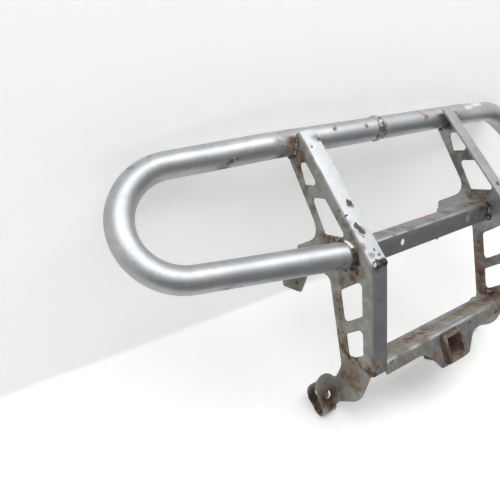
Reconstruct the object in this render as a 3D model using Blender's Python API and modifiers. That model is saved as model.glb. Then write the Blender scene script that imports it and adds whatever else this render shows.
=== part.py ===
# Front bumper of an all-terrain vehicle: two bent tube hoops butted at the middle, two folded
# sheet brackets, an angle strap, a lower channel with a receiver tube, and the weld beads.
# Metres, +Z up, X across the vehicle, -Y is the front. The origin is the middle of the strap's
# front face.

import math

import bmesh
import bpy
from mathutils import Matrix, Vector

COLLECTION = "atv_front_bumper"

# Sheet and folds
SHEET = 0.0025
FOLD_RADIUS = 0.004
FOLD_STEPS = 4
FOLD_MARGIN = 0.0005
GAP = 0.0003

# Fineness of round outlines, and distances below which points count as one or as on a line
CORNER_STEPS = 4
ROUND_STEPS = 10
HOLE_SIDES = 16
STRAP_HOLE_SIDES = 20
LOBE_STEPS = 6
RECEIVER_STEPS = 3
MERGE = 0.000001
ON_LINE = 0.0000001
BEYOND = 0.00001

# Side brackets, drawn in the side plate's plane: first number back from the lower flange's
# front face, second number up from the knee between the two flanges
HALF_SPAN = 0.147
FLANGE_WIDTH = 0.024
UPPER_LEAN = math.radians(38.1)
UPPER_LENGTH = 0.1775
LOWER_LENGTH = 0.140
KNEE_SLIT = 0.0004
SADDLE_START_BACK = math.radians(13.0)
REAR_SLOPE = 0.56
INNER_CORNER_HEIGHT = 0.017
INNER_CORNER_RADIUS = 0.018
ARM_REACH = 0.128
ARM_TOP_SLOPE = 0.46
ARM_TIP_DROP = 0.0705
ARM_UNDERSIDE = 0.030
ARM_HEEL_RADIUS = 0.010
ARM_BELLY_BACK = 0.104
ARM_BELLY_RADIUS = 0.016
LOWER_REAR_TOP = 0.0672
LOWER_REAR_BOTTOM = 0.0522
NECK_HEIGHT = -0.148
NECK_RADIUS = 0.020

# Tab at the arm's rear end, folded outward
TAB_WIDTH = 0.025
TAB_TOP = -0.018
TAB_CUT = 0.016
TAB_CORNER = 0.004
TAB_HOLE = 0.0048
TAB_HOLE_HEIGHT = -0.040

# Windows of the side plate, each with its top and bottom. The lower ones' heights are shares of
# the lower flange's length, the upper ones' are shares of the height of the hoop's underside,
# and a third number there is the slope of the rear side
FRONT_RIM = 0.0145
REAR_RIM = 0.0150
LOWER_WEB_SLOPE = 0.64
LOWER_WINDOWS = ((0.153, 0.468), (0.584, 0.837))
LOWER_WINDOW_RADIUS = 0.0045
UPPER_WEB_SLOPE = 0.065
UPPER_REAR_RIM = 0.0097
UPPER_WINDOWS = ((0.5866, 0.2110, 0.495), (0.9458, 0.7139, 0.32))
UPPER_WINDOW_RADII = (0.0022, 0.0045)

# Clevis below the side plate: an ear folded outward and a strap bent back up behind it
HINGE_TOP_BACK = 0.064
HINGE_TOP_HEIGHT = -0.172
HINGE_LEAN = math.radians(13.3)
HINGE_LENGTH = 0.0345
EAR_WIDTH = 0.033
EAR_RISE = 0.0100
EAR_HEAD_START = math.radians(155.0)
CLEVIS_GAP = 0.0175
CLEVIS_DROP = 0.0355
REAR_EAR_HEIGHT = 0.0293
REAR_EAR_RISE = 0.0125
REAR_EAR_SHOULDER = 0.003
REAR_EAR_CORNER = 0.012
CLEVIS_STRAP_INNER = 0.0078
CLEVIS_STRAP_OUTER = 0.0290
CLEVIS_HOLE = 0.0056
CLEVIS_HOLE_DROP = 0.0185
HEEL_BACK = 0.022
HEEL_HEIGHT = -0.186
HEEL_RADIUS = 0.035

# Hoop tubes
TUBE_RADIUS = 0.015875
TUBE_WALL = 0.002
TUBE_SIDES = 24
TUBE_PAST_HEAD = 0.0015
TUBE_STANDOFF = 0.008
SWEEP_START = 0.1844
SWEEP_ANGLE = math.radians(11.0)
SWEEP_DROP = math.radians(2.3)
SWEEP_RADIUS = 0.090
LEG_LENGTH = 0.1156
BEND_RADIUS = 0.0655
BEND_ANGLE = math.radians(173.7)
HOOP_LEAN = math.radians(33.3)
BEND_STEPS = 22

# Cross strap
STRAP_BACK = 0.043
STRAP_TOP = 0.0055
STRAP_HEIGHT = 0.0263
STRAP_DEPTH = 0.0245
STRAP_HOLES = (-0.0434, 0.0929)
STRAP_HOLE_RADIUS = 0.0045
STRAP_HOLE_DROP = 0.0142
STRAP_TAPER_LENGTH = 0.034
STRAP_TAPER = 0.010

# Lower channel, whose front face leans with the receiver
CHANNEL_BACK = 0.0041
CHANNEL_DROP = 0.1296
CHANNEL_TILT = math.radians(18.3)
CHANNEL_HEIGHT = 0.0166
CHANNEL_DEPTH = 0.0415
CHANNEL_RADIUS = 0.0055
LOBE_DEPTH = 0.0465
LOBE_HALF_WIDTH = 0.0293
LOBE_SHOULDER = 0.0505
LOBE_CORNER = 0.004
LOBE_FILLET = 0.034

# Receiver tube
RECEIVER_SIZE = 0.0381
RECEIVER_WALL = 0.0050
RECEIVER_CORNER = 0.004
RECEIVER_LENGTH = 0.042
RECEIVER_PROUD = 0.0055
RECEIVER_DROP = 0.0252

# Weld beads
BEAD_RADIUS = 0.0020
RECEIVER_BEAD_RADIUS = 0.0013
KNEE_BEAD_RADIUS = 0.0034
KNEE_BEAD_SIDES = 12
SEAM_BEAD_HEIGHT = 0.0007
SEAM_BEAD_WIDTH = 0.0060
SEAM_BEAD_SEGMENTS = 28
BEAD_SIDES = 8
SADDLE_BEAD_START = math.radians(155.0)
SADDLE_BEAD_SHORT = math.radians(12.0)
END_BEAD_SEGMENTS = 24

# Finishes: colour, roughness, metallic; and the angles below which faces shade as one
TUBE_PAINT = ((0.45, 0.46, 0.47), 0.38, 0.6)
SHEET_PAINT = ((0.45, 0.46, 0.47), 0.42, 0.5)
WORN_PAINT = ((0.36, 0.34, 0.32), 0.5, 0.5)
WELD_BEAD = ((0.24, 0.22, 0.20), 0.6, 0.6)
RUSTY_STEEL = ((0.20, 0.12, 0.08), 0.75, 0.4)
TUBE_SMOOTH = math.radians(30.0)
SHEET_SMOOTH = math.radians(40.0)
BEAD_SMOOTH = math.radians(60.0)

ORIGIN_SHIFT = Vector((0.0, -STRAP_BACK, STRAP_HEIGHT / 2 - STRAP_TOP))


def clear_scene():
    for obj in list(bpy.data.objects):
        bpy.data.objects.remove(obj, do_unlink=True)


def make_collection(name):
    collection = bpy.data.collections.new(name)
    bpy.context.scene.collection.children.link(collection)
    return collection


def make_material(name, color, roughness, metallic):
    material = bpy.data.materials.new(name)
    material.use_nodes = True
    shader = material.node_tree.nodes["Principled BSDF"]
    shader.inputs["Base Color"].default_value = (*color, 1.0)
    shader.inputs["Roughness"].default_value = roughness
    shader.inputs["Metallic"].default_value = metallic
    return material


def add_part(name, mesh, collection, frame, finish, smooth_angle):
    mesh.name = name
    mesh.materials.clear()
    mesh.materials.append(make_material(f"{name}_finish", *finish))
    mesh.shade_smooth()
    mesh.set_sharp_from_angle(angle=smooth_angle)
    obj = bpy.data.objects.new(name, mesh)
    collection.objects.link(obj)
    obj.parent = frame
    return obj


def add_cutter(name, mesh, collection, frame):
    obj = bpy.data.objects.new(name, mesh)
    collection.objects.link(obj)
    obj.parent = frame
    obj.hide_render = True
    obj.display_type = "WIRE"
    return obj


def subtract(obj, cutter):
    modifier = obj.modifiers.new(cutter.name, "BOOLEAN")
    modifier.operation = "DIFFERENCE"
    modifier.solver = "EXACT"
    modifier.object = cutter


def cross_point(point_a, slope_a, point_b, slope_b):
    # Where the line through point_a along slope_a meets the line through point_b along slope_b
    det = slope_a[0] * slope_b[1] - slope_a[1] * slope_b[0]
    step = (point_b[0] - point_a[0]) * slope_b[1] - (point_b[1] - point_a[1]) * slope_b[0]
    return (point_a[0] + slope_a[0] * step / det, point_a[1] + slope_a[1] * step / det)


def arc_points(center, radius, start, end, steps):
    angles = [start + (end - start) * i / steps for i in range(steps + 1)]
    return [(center[0] + radius * math.cos(a), center[1] + radius * math.sin(a)) for a in angles]


def hole_points(center, radius, sides):
    return arc_points(center, radius, 0.0, math.tau * (sides - 1) / sides, sides - 1)


def fillet(before, corner, after, radius, steps):
    # The arc of the given radius that rounds a corner between two straight runs
    c = Vector(corner)
    u = (Vector(before) - c).normalized()
    v = (Vector(after) - c).normalized()
    half = u.angle(v) / 2
    room = 0.49 * min((Vector(before) - c).length, (Vector(after) - c).length)
    reach = min(radius / math.tan(half), room)
    radius = reach * math.tan(half)
    center = c + (u + v).normalized() * radius / math.sin(half)
    first = c + u * reach - center
    last = c + v * reach - center
    turn = first.angle_signed(last)
    points = []
    for i in range(steps + 1):
        points.append(tuple(center + Matrix.Rotation(-turn * i / steps, 2) @ first))
    return points


def rounded(corners, steps=CORNER_STEPS):
    # A corner is (u, v) when sharp, or (u, v, radius) when rounded
    points = []
    count = len(corners)
    for i, corner in enumerate(corners):
        if len(corner) == 2:
            points.append(corner)
        else:
            before = corners[i - 1][:2]
            after = corners[(i + 1) % count][:2]
            points.extend(fillet(before, corner[:2], after, corner[2], steps))
    return points


def flat_mesh(name, loops, thickness=0.0):
    # A flat outline with holes, filled, and given a thickness when one is stated
    curve = bpy.data.curves.new(name, "CURVE")
    curve.dimensions = "2D"
    curve.fill_mode = "BOTH"
    curve.extrude = thickness / 2
    for loop in loops:
        spline = curve.splines.new("POLY")
        spline.points.add(len(loop) - 1)
        for point, (u, v) in zip(spline.points, loop):
            point.co = (u, v, 0.0, 1.0)
        spline.use_cyclic_u = True
    return curve_to_mesh(name, curve)


def curve_to_mesh(name, curve):
    obj = bpy.data.objects.new(name, curve)
    bpy.context.scene.collection.objects.link(obj)
    bpy.context.view_layer.update()
    evaluated = obj.evaluated_get(bpy.context.evaluated_depsgraph_get())
    mesh = bpy.data.meshes.new_from_object(evaluated)
    bpy.data.objects.remove(obj, do_unlink=True)
    bpy.data.curves.remove(curve)
    bm = bmesh.new()
    bm.from_mesh(mesh)
    bmesh.ops.remove_doubles(bm, verts=bm.verts, dist=MERGE)
    bm.to_mesh(mesh)
    bm.free()
    return mesh


def tube_mesh(name, points, radius, sides, caps=True, cyclic=False):
    curve = bpy.data.curves.new(name, "CURVE")
    curve.dimensions = "3D"
    curve.bevel_depth = radius
    curve.bevel_resolution = (sides - 4) // 2
    curve.use_fill_caps = caps
    spline = curve.splines.new("POLY")
    spline.points.add(len(points) - 1)
    for point, co in zip(spline.points, points):
        point.co = (*co, 1.0)
    spline.use_cyclic_u = cyclic
    return curve_to_mesh(name, curve)


def box_mesh(name, low, high):
    mesh = bpy.data.meshes.new(name)
    bm = bmesh.new()
    bmesh.ops.create_cube(bm, size=1.0)
    size = [h - l for l, h in zip(low, high)]
    middle = [(l + h) / 2 for l, h in zip(low, high)]
    bmesh.ops.scale(bm, vec=size, verts=bm.verts)
    bmesh.ops.translate(bm, vec=middle, verts=bm.verts)
    bm.to_mesh(mesh)
    bm.free()
    return mesh


def place_flat(mesh, origin, across, up):
    # Puts a flat outline's two coordinates along two directions in space
    normal = across.cross(up)
    matrix = Matrix((across, up, normal)).transposed().to_4x4()
    mesh.transform(Matrix.Translation(origin) @ matrix)


def fold(bm, start, outward, turn, radius, angle, inside):
    # Rolls the flap beyond the line through start around a bend of the given radius:
    # the run s across the line becomes the arc (r sin(s/r), r - r cos(s/r)), then straight
    steps = FOLD_STEPS * round(angle / (math.pi / 2))
    cuts = [-FOLD_MARGIN] + [radius * angle * i / steps for i in range(steps + 1)]
    cuts.append(radius * angle + FOLD_MARGIN)
    for cut in cuts:
        plane = start + outward * cut
        faces = [f for f in bm.faces if any(inside(v.co) for v in f.verts)]
        edges = {e for f in faces for e in f.edges}
        verts = {v for f in faces for v in f.verts}
        geometry = faces + list(edges) + list(verts)
        bmesh.ops.bisect_plane(
            bm, geom=geometry, dist=ON_LINE, plane_co=plane, plane_no=outward
        )
    for vert in bm.verts:
        run = (vert.co - start).dot(outward)
        if run <= ON_LINE or not inside(vert.co):
            continue
        height = (vert.co - start).dot(turn)
        base = vert.co - outward * run - turn * height
        bend = min(run / radius, angle)
        rest = run - radius * bend
        arm = radius - height
        vert.co = (
            base
            + outward * (arm * math.sin(bend) + rest * math.cos(bend))
            + turn * (radius - arm * math.cos(bend) + rest * math.sin(bend))
        )


def solid_sheet(obj):
    modifier = obj.modifiers.new("sheet", "SOLIDIFY")
    modifier.thickness = SHEET
    modifier.offset = -1.0
    modifier.use_even_offset = True


def blank(mesh, facing):
    # The flat sheet as an editable mesh whose outer side faces the stated way
    bm = bmesh.new()
    bm.from_mesh(mesh)
    bm.normal_update()
    turned = [f for f in bm.faces if f.normal.dot(facing) < 0]
    bmesh.ops.reverse_faces(bm, faces=turned)
    return bm

upperAlong = Vector((math.sin(UPPER_LEAN), math.cos(UPPER_LEAN)))
upperOut = Vector((-math.cos(UPPER_LEAN), math.sin(UPPER_LEAN)))
tubeAlong = UPPER_LENGTH + TUBE_PAST_HEAD
tubeCenter = upperAlong * tubeAlong - upperOut * (TUBE_STANDOFF + TUBE_RADIUS)
foldArc = FOLD_RADIUS * math.pi / 2
flangeRun = foldArc + FLANGE_WIDTH - FOLD_RADIUS
innerRadius = FOLD_RADIUS - SHEET
hingeDown = Vector((-math.sin(HINGE_LEAN), -math.cos(HINGE_LEAN)))
hingeOut = Vector((math.cos(HINGE_LEAN), -math.sin(HINGE_LEAN)))
hingeTop = Vector((HINGE_TOP_BACK, HINGE_TOP_HEIGHT))
earRadius = EAR_WIDTH / 2
innerArc = innerRadius * math.pi / 2
earRun = innerArc + EAR_WIDTH - innerRadius
clevisRadius = CLEVIS_GAP / 2 + SHEET


def lower_rear(height):
    # The lower plate's rear edge, straight from under the arm to the neck
    share = (height + ARM_UNDERSIDE) / (NECK_HEIGHT + ARM_UNDERSIDE)
    return LOWER_REAR_TOP + (LOWER_REAR_BOTTOM - LOWER_REAR_TOP) * share


def saddle_point(angle):
    reach = TUBE_RADIUS + GAP
    return (tubeCenter.x + reach * math.cos(angle), tubeCenter.y + reach * math.sin(angle))


def inner_corner():
    # Where the upper rear edge, run down from the saddle, reaches the arm
    top = saddle_point(SADDLE_START_BACK - math.pi / 2)
    return (top[0] - REAR_SLOPE * (top[1] - INNER_CORNER_HEIGHT), INNER_CORNER_HEIGHT)


def clevis_point(out, down):
    return hingeTop + hingeOut * out + hingeDown * down


def flange_outline():
    # From the lower flange's foot, over the knee, to the upper flange's head
    knee = cross_point((FOLD_RADIUS, 0.0), (0.0, 1.0), -upperOut * FOLD_RADIUS, upperAlong)
    free_edge = FOLD_RADIUS - flangeRun
    foot = [(FOLD_RADIUS, -LOWER_LENGTH), (free_edge, -LOWER_LENGTH), (free_edge, -KNEE_SLIT)]
    bend_end = (FOLD_RADIUS - foldArc, -KNEE_SLIT)
    upper = []
    for along, out in (
        (KNEE_SLIT, foldArc),
        (KNEE_SLIT, flangeRun),
        (UPPER_LENGTH, flangeRun),
        (UPPER_LENGTH, 0.0),
    ):
        upper.append(tuple(upperAlong * along + upperOut * (out - FOLD_RADIUS)))
    return foot + [bend_end, knee] + upper


def arm_outline():
    # The inner corner, the arm's top edge, its folded tab, its tip and its underside
    corner = inner_corner()
    tab_line = ARM_REACH - innerRadius
    tab_end = tab_line + innerArc + TAB_WIDTH - innerRadius
    arm_top = corner[1] - ARM_TOP_SLOPE * (tab_line - corner[0])
    return [
        (*corner, INNER_CORNER_RADIUS),
        (tab_line, arm_top),
        (tab_line, TAB_TOP),
        (tab_end, TAB_TOP, TAB_CORNER),
        (tab_end, TAB_CUT - ARM_TIP_DROP, TAB_CORNER),
        (tab_line + innerArc, -ARM_TIP_DROP),
        (tab_line, -ARM_TIP_DROP),
        (ARM_BELLY_BACK, -ARM_UNDERSIDE, ARM_BELLY_RADIUS),
        (LOWER_REAR_TOP, -ARM_UNDERSIDE, ARM_HEEL_RADIUS),
    ]


def clevis_outline():
    # The neck, the notch beside the ear, the ear's round head, the strap and the rear ear
    neck = (lower_rear(NECK_HEIGHT), NECK_HEIGHT, NECK_RADIUS)
    notch = tuple(hingeTop)
    head_down = earRadius - EAR_RISE
    head = clevis_point(earRun - earRadius, head_down)
    out_angle = math.atan2(hingeOut.y, hingeOut.x)
    points = [neck, notch]
    points += arc_points(head, earRadius, out_angle + EAR_HEAD_START, out_angle, ROUND_STEPS)
    rear_foot = CLEVIS_DROP + clevisRadius * math.pi
    rear_top = rear_foot + REAR_EAR_HEIGHT
    points.append(tuple(clevis_point(CLEVIS_STRAP_OUTER, CLEVIS_DROP)))
    points.append(tuple(clevis_point(CLEVIS_STRAP_OUTER, rear_foot)))
    points.append(tuple(clevis_point(earRun, rear_foot + REAR_EAR_RISE)))
    points.append((*clevis_point(earRun, rear_top), REAR_EAR_CORNER))
    points.append((*clevis_point(innerArc, rear_top), REAR_EAR_CORNER))
    points.append(tuple(clevis_point(innerArc, rear_foot + REAR_EAR_SHOULDER)))
    points.append(tuple(clevis_point(CLEVIS_STRAP_INNER, rear_foot)))
    points.append(tuple(clevis_point(CLEVIS_STRAP_INNER, CLEVIS_DROP)))
    points.append(tuple(clevis_point(0.0, HINGE_LENGTH)))
    points.append((HEEL_BACK, HEEL_HEIGHT, HEEL_RADIUS))
    return points


def lower_window(top_share, bottom_share):
    # A window between the lower flange's rim and the rear rim, with sloping webs
    top = -LOWER_LENGTH * top_share
    bottom = -LOWER_LENGTH * bottom_share
    slope = (1.0, -LOWER_WEB_SLOPE)
    rear_top = (lower_rear(top) - REAR_RIM, top)
    rear_bottom = (lower_rear(bottom) - REAR_RIM, bottom)
    rear_slope = (rear_bottom[0] - rear_top[0], rear_bottom[1] - rear_top[1])
    corners = [
        (FRONT_RIM, top),
        cross_point((FRONT_RIM, top), slope, rear_top, rear_slope),
        cross_point((FRONT_RIM, bottom), slope, rear_top, rear_slope),
        (FRONT_RIM, bottom),
    ]
    return rounded([(*corner, LOWER_WINDOW_RADIUS) for corner in corners])


def upper_window(top_share, bottom_share, rear_slope):
    # A window between the upper flange's rim and the upper rear edge
    underside = tubeCenter.y - TUBE_RADIUS - GAP
    top = underside * top_share
    bottom = underside * bottom_share
    slope = (1.0, -UPPER_WEB_SLOPE)
    rim = -upperOut * FRONT_RIM
    front_top = cross_point(rim, upperAlong, (rim.x, top), (1.0, 0.0))
    front_bottom = cross_point(rim, upperAlong, (rim.x, bottom), (1.0, 0.0))
    edge = inner_corner()
    rear = (edge[0] + REAR_SLOPE * (bottom - edge[1]) - UPPER_REAR_RIM, bottom)
    rear_bottom = cross_point(front_bottom, slope, rear, (rear_slope, 1.0))
    rear_top = cross_point(front_top, slope, rear, (rear_slope, 1.0))
    small, large = UPPER_WINDOW_RADII
    return rounded(
        [(*front_bottom, large), (*rear_bottom, small), (*rear_top, large), (*front_top, small)]
    )


def bracket_loops():
    flange_head = upperAlong * UPPER_LENGTH - upperOut * FOLD_RADIUS
    toward = flange_head - tubeCenter
    saddle_from = math.atan2(toward.y, toward.x)
    saddle_to = math.pi * 1.5 + SADDLE_START_BACK
    saddle = arc_points(tubeCenter, TUBE_RADIUS + GAP, saddle_from, saddle_to, ROUND_STEPS)
    outer = flange_outline() + saddle + arm_outline() + clevis_outline()
    tab_middle = ARM_REACH + TAB_WIDTH / 2 + innerArc - 2 * innerRadius
    bolt = clevis_point(earRun - earRadius, CLEVIS_HOLE_DROP)
    rear_bolt = 2 * CLEVIS_DROP + clevisRadius * math.pi - CLEVIS_HOLE_DROP
    rear_hole = clevis_point(earRun - earRadius, rear_bolt)
    loops = [rounded(outer)]
    loops += [lower_window(*heights) for heights in LOWER_WINDOWS]
    loops += [upper_window(*shape) for shape in UPPER_WINDOWS]
    for center, radius in (
        ((tab_middle, TAB_HOLE_HEIGHT), TAB_HOLE),
        (bolt, CLEVIS_HOLE),
        (rear_hole, CLEVIS_HOLE),
    ):
        loops.append(hole_points(center, radius, HOLE_SIDES))
    return loops


def plate_vector(direction):
    return Vector((0.0, direction[0], direction[1]))


def bracket_mesh(side):
    # The flat blank stands in the side plate's outer face, then each flap is folded
    name = "side_bracket_right" if side > 0 else "side_bracket_left"
    mesh = flat_mesh(name, bracket_loops())
    place_flat(mesh, Vector((-HALF_SPAN, 0.0, 0.0)), Vector((0.0, 1.0, 0.0)), Vector((0, 0, 1)))
    inward = Vector((1.0, 0.0, 0.0))
    bm = blank(mesh, -inward)
    edge = Vector((-HALF_SPAN, 0.0, 0.0))
    along = plate_vector(upperAlong)
    down = plate_vector(hingeDown)
    out = plate_vector(hingeOut)
    hinge = edge + plate_vector(hingeTop)
    tab_line = edge + Vector((0.0, ARM_REACH - innerRadius, 0.0))
    clevis_line = hinge + down * CLEVIS_DROP
    quarter = math.pi / 2
    lower_start = edge + Vector((0.0, FOLD_RADIUS, 0.0))
    upper_start = edge - plate_vector(upperOut) * FOLD_RADIUS
    upper_normal = plate_vector(upperOut)

    def in_lower(co):
        return co.y < FOLD_RADIUS - BEYOND and co.z < 0

    def in_upper(co):
        beyond = (co - upper_start).dot(upper_normal) > BEYOND
        return beyond and (co - edge).dot(along) > 0

    def in_tab(co):
        return co.y > tab_line.y + BEYOND and co.z < 0

    def in_strap(co):
        return (co - clevis_line).dot(down) > BEYOND and (co - hinge).dot(out) > -BEYOND

    def in_ear(co):
        return (co - hinge).dot(out) > BEYOND and co.z < hinge.z + EAR_RISE + SHEET

    fold(bm, lower_start, Vector((0.0, -1.0, 0.0)), inward, FOLD_RADIUS, quarter, in_lower)
    fold(bm, upper_start, upper_normal, inward, FOLD_RADIUS, quarter, in_upper)
    fold(bm, tab_line, Vector((0.0, 1.0, 0.0)), -inward, innerRadius, quarter, in_tab)
    fold(bm, clevis_line, down, inward, clevisRadius, math.pi, in_strap)
    fold(bm, hinge, out, -inward, innerRadius, quarter, in_ear)
    if side > 0:
        bmesh.ops.scale(bm, vec=(-1.0, 1.0, 1.0), verts=bm.verts)
        bmesh.ops.reverse_faces(bm, faces=bm.faces)
    bm.to_mesh(mesh)
    bm.free()
    return mesh


def bend_path(points, radius, steps):
    # A route of straight runs with its one middle corner rounded in space
    before, corner, after = points
    u = (before - corner).normalized()
    v = (after - corner).normalized()
    half = u.angle(v) / 2
    reach = radius / math.tan(half)
    center = corner + (u + v).normalized() * radius / math.sin(half)
    first = corner + u * reach - center
    axis = first.cross(corner + v * reach - center).normalized()
    total = math.pi - 2 * half
    return [
        center + Matrix.Rotation(total * i / steps, 3, axis) @ first for i in range(steps + 1)
    ]


def leg_direction():
    flat = math.cos(SWEEP_DROP)
    return Vector(
        (
            -math.cos(SWEEP_ANGLE) * flat,
            math.sin(SWEEP_ANGLE) * flat,
            -math.sin(SWEEP_DROP),
        )
    )


def hoop_route():
    # From the middle along the top, swept back, round the end and back to the side plate
    start = Vector((-GAP / 2, tubeCenter.x, tubeCenter.y))
    corner = Vector((-SWEEP_START, tubeCenter.x, tubeCenter.y))
    leg = leg_direction()
    bend_start = corner + leg * LEG_LENGTH
    down = Vector((0.0, 0.0, -1.0))
    down = (down - leg * down.dot(leg)).normalized()
    front = down.cross(leg)
    if front.y > 0:
        front = -front
    drop = down * math.cos(HOOP_LEAN) + front * math.sin(HOOP_LEAN)
    center = bend_start + drop * BEND_RADIUS
    route = [start] + bend_path((start, corner, bend_start), SWEEP_RADIUS, 3)
    for i in range(BEND_STEPS + 1):
        turn = BEND_ANGLE * i / BEND_STEPS
        route.append(center + (leg * math.sin(turn) - drop * math.cos(turn)) * BEND_RADIUS)
    heading = leg * math.cos(BEND_ANGLE) + drop * math.sin(BEND_ANGLE)
    foot = route[-1] + heading * ((-HALF_SPAN - route[-1].x) / heading.x)
    return route, foot, heading


def add_hoops(collection, cutters, frame):
    route, foot, heading = hoop_route()
    overrun = foot + heading * 2 * TUBE_RADIUS
    for side, name in ((-1, "hoop_tube_left"), (1, "hoop_tube_right")):
        points = [Vector((p.x * -side, p.y, p.z)) for p in route + [overrun]]
        mesh = tube_mesh(name, points, TUBE_RADIUS, TUBE_SIDES, caps=False)
        obj = add_part(name, mesh, collection, frame, TUBE_PAINT, TUBE_SMOOTH)
        modifier = obj.modifiers.new("wall", "SOLIDIFY")
        modifier.thickness = TUBE_WALL
        modifier.offset = -1.0
        modifier.use_even_offset = True
        face = HALF_SPAN + GAP
        low = (-face, foot.y - 3 * TUBE_RADIUS, foot.z - 3 * TUBE_RADIUS)
        high = (face, foot.y + 3 * TUBE_RADIUS, foot.z + 3 * TUBE_RADIUS)
        cutter = add_cutter(f"{name}_end_cut", box_mesh(name, low, high), cutters, frame)
        subtract(obj, cutter)
    return foot, heading


def add_strap(collection, frame):
    # A flat blank with two bolt holes, whose top edge is folded back
    half = HALF_SPAN - SHEET - GAP
    bend_line = STRAP_TOP - FOLD_RADIUS
    run = foldArc + STRAP_DEPTH - FOLD_RADIUS
    bottom = STRAP_TOP - STRAP_HEIGHT
    taper_end = half - STRAP_TAPER_LENGTH
    outline = [
        (-half, bottom),
        (half, bottom),
        (half, bend_line + run - STRAP_TAPER),
        (taper_end, bend_line + run),
        (-taper_end, bend_line + run),
        (-half, bend_line + run - STRAP_TAPER),
    ]
    hole_height = STRAP_TOP - STRAP_HOLE_DROP
    holes = []
    for x in STRAP_HOLES:
        holes.append(hole_points((x, hole_height), STRAP_HOLE_RADIUS, STRAP_HOLE_SIDES))
    mesh = flat_mesh("cross_strap", [outline] + holes)
    front = Vector((0.0, STRAP_BACK, 0.0))
    place_flat(mesh, front, Vector((1.0, 0.0, 0.0)), Vector((0.0, 0.0, 1.0)))
    up = Vector((0.0, 0.0, 1.0))
    back = Vector((0.0, 1.0, 0.0))
    bm = blank(mesh, -back)
    start = front + up * bend_line

    def in_top(co):
        return co.z > bend_line + BEYOND

    fold(bm, start, up, back, FOLD_RADIUS, math.pi / 2, in_top)
    bm.to_mesh(mesh)
    bm.free()
    solid_sheet(add_part("cross_strap", mesh, collection, frame, SHEET_PAINT, SHEET_SMOOTH))


def channel_axes():
    down = Vector((0.0, -math.sin(CHANNEL_TILT), -math.cos(CHANNEL_TILT)))
    forward = Vector((0.0, -math.cos(CHANNEL_TILT), math.sin(CHANNEL_TILT)))
    return down, forward, Vector((0.0, CHANNEL_BACK, -CHANNEL_DROP))


def receiver_outline(size, corner):
    half = size / 2
    signs = ((-1, -1), (1, -1), (1, 1), (-1, 1))
    return rounded([(sx * half, sy * half, corner) for sx, sy in signs], RECEIVER_STEPS)


def channel_outline():
    # Front face measured up from the fold's outer corner, with the lobe round the receiver
    half = HALF_SPAN - SHEET - GAP
    arc = CHANNEL_RADIUS * math.pi / 2
    top = arc + CHANNEL_DEPTH - 2 * CHANNEL_RADIUS
    right = [
        (LOBE_HALF_WIDTH, -LOBE_DEPTH, LOBE_CORNER),
        (LOBE_SHOULDER, -CHANNEL_HEIGHT, LOBE_FILLET),
        (half, -CHANNEL_HEIGHT),
        (half, top),
    ]
    left = [(-corner[0], *corner[1:]) for corner in reversed(right)]
    return rounded(right + left, LOBE_STEPS)


def add_channel(collection, cutters, frame):
    # Pressed angle: the front face with its lobe and window, and the top rolled back
    size = RECEIVER_SIZE + 2 * GAP
    window = [(u, v - RECEIVER_DROP) for u, v in receiver_outline(size, RECEIVER_CORNER)]
    mesh = flat_mesh("lower_channel", [channel_outline(), window])
    down, forward, fold_line = channel_axes()
    place_flat(mesh, fold_line, Vector((1.0, 0.0, 0.0)), -down)
    bm = blank(mesh, forward)
    start = fold_line + down * CHANNEL_RADIUS

    def in_top(co):
        return (co - start).dot(down) < -BEYOND

    fold(bm, start, -down, -forward, CHANNEL_RADIUS, math.pi / 2, in_top)
    bm.to_mesh(mesh)
    bm.free()
    obj = add_part("lower_channel", mesh, collection, frame, WORN_PAINT, SHEET_SMOOTH)
    solid_sheet(obj)
    notch_in = HALF_SPAN - FLANGE_WIDTH - GAP
    for side in (-1, 1):
        xs = sorted((side * notch_in, side * (HALF_SPAN + SHEET)))
        low = (xs[0], -LOWER_LENGTH, -LOWER_LENGTH - CHANNEL_HEIGHT)
        high = (xs[1], FOLD_RADIUS, 0.0)
        name = "flange_notch_right" if side > 0 else "flange_notch_left"
        subtract(obj, add_cutter(name, box_mesh(name, low, high), cutters, frame))


def add_receiver(collection, frame):
    outer = receiver_outline(RECEIVER_SIZE, RECEIVER_CORNER)
    bore_size = RECEIVER_SIZE - 2 * RECEIVER_WALL
    bore = receiver_outline(bore_size, RECEIVER_CORNER - RECEIVER_WALL / 2)
    mesh = flat_mesh("receiver_tube", [outer, bore], RECEIVER_LENGTH)
    down, forward, fold_line = channel_axes()
    middle = fold_line + down * RECEIVER_DROP
    middle += forward * (RECEIVER_PROUD - RECEIVER_LENGTH / 2)
    place_flat(mesh, middle, Vector((1.0, 0.0, 0.0)), -down)
    add_part("receiver_tube", mesh, collection, frame, RUSTY_STEEL, SHEET_SMOOTH)


def bead_name(base, side):
    return f"{base}_right" if side > 0 else f"{base}_left"


def add_seam_bead(collection, frame):
    # A flattened ring over the butt joint of the two hoops
    bpy.ops.mesh.primitive_torus_add(
        major_segments=SEAM_BEAD_SEGMENTS,
        minor_segments=BEAD_SIDES,
        major_radius=TUBE_RADIUS + GAP + SEAM_BEAD_HEIGHT,
        minor_radius=SEAM_BEAD_HEIGHT,
    )
    ring = bpy.context.object
    mesh = ring.data.copy()
    bpy.data.objects.remove(ring, do_unlink=True)
    widen = Matrix.Diagonal((1.0, 1.0, SEAM_BEAD_WIDTH / 2 / SEAM_BEAD_HEIGHT, 1.0))
    place = Matrix.Translation((0.0, tubeCenter.x, tubeCenter.y))
    mesh.transform(place @ Matrix.Rotation(math.pi / 2, 4, "Y") @ widen)
    add_part("seam_weld", mesh, collection, frame, WELD_BEAD, BEAD_SMOOTH)


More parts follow.
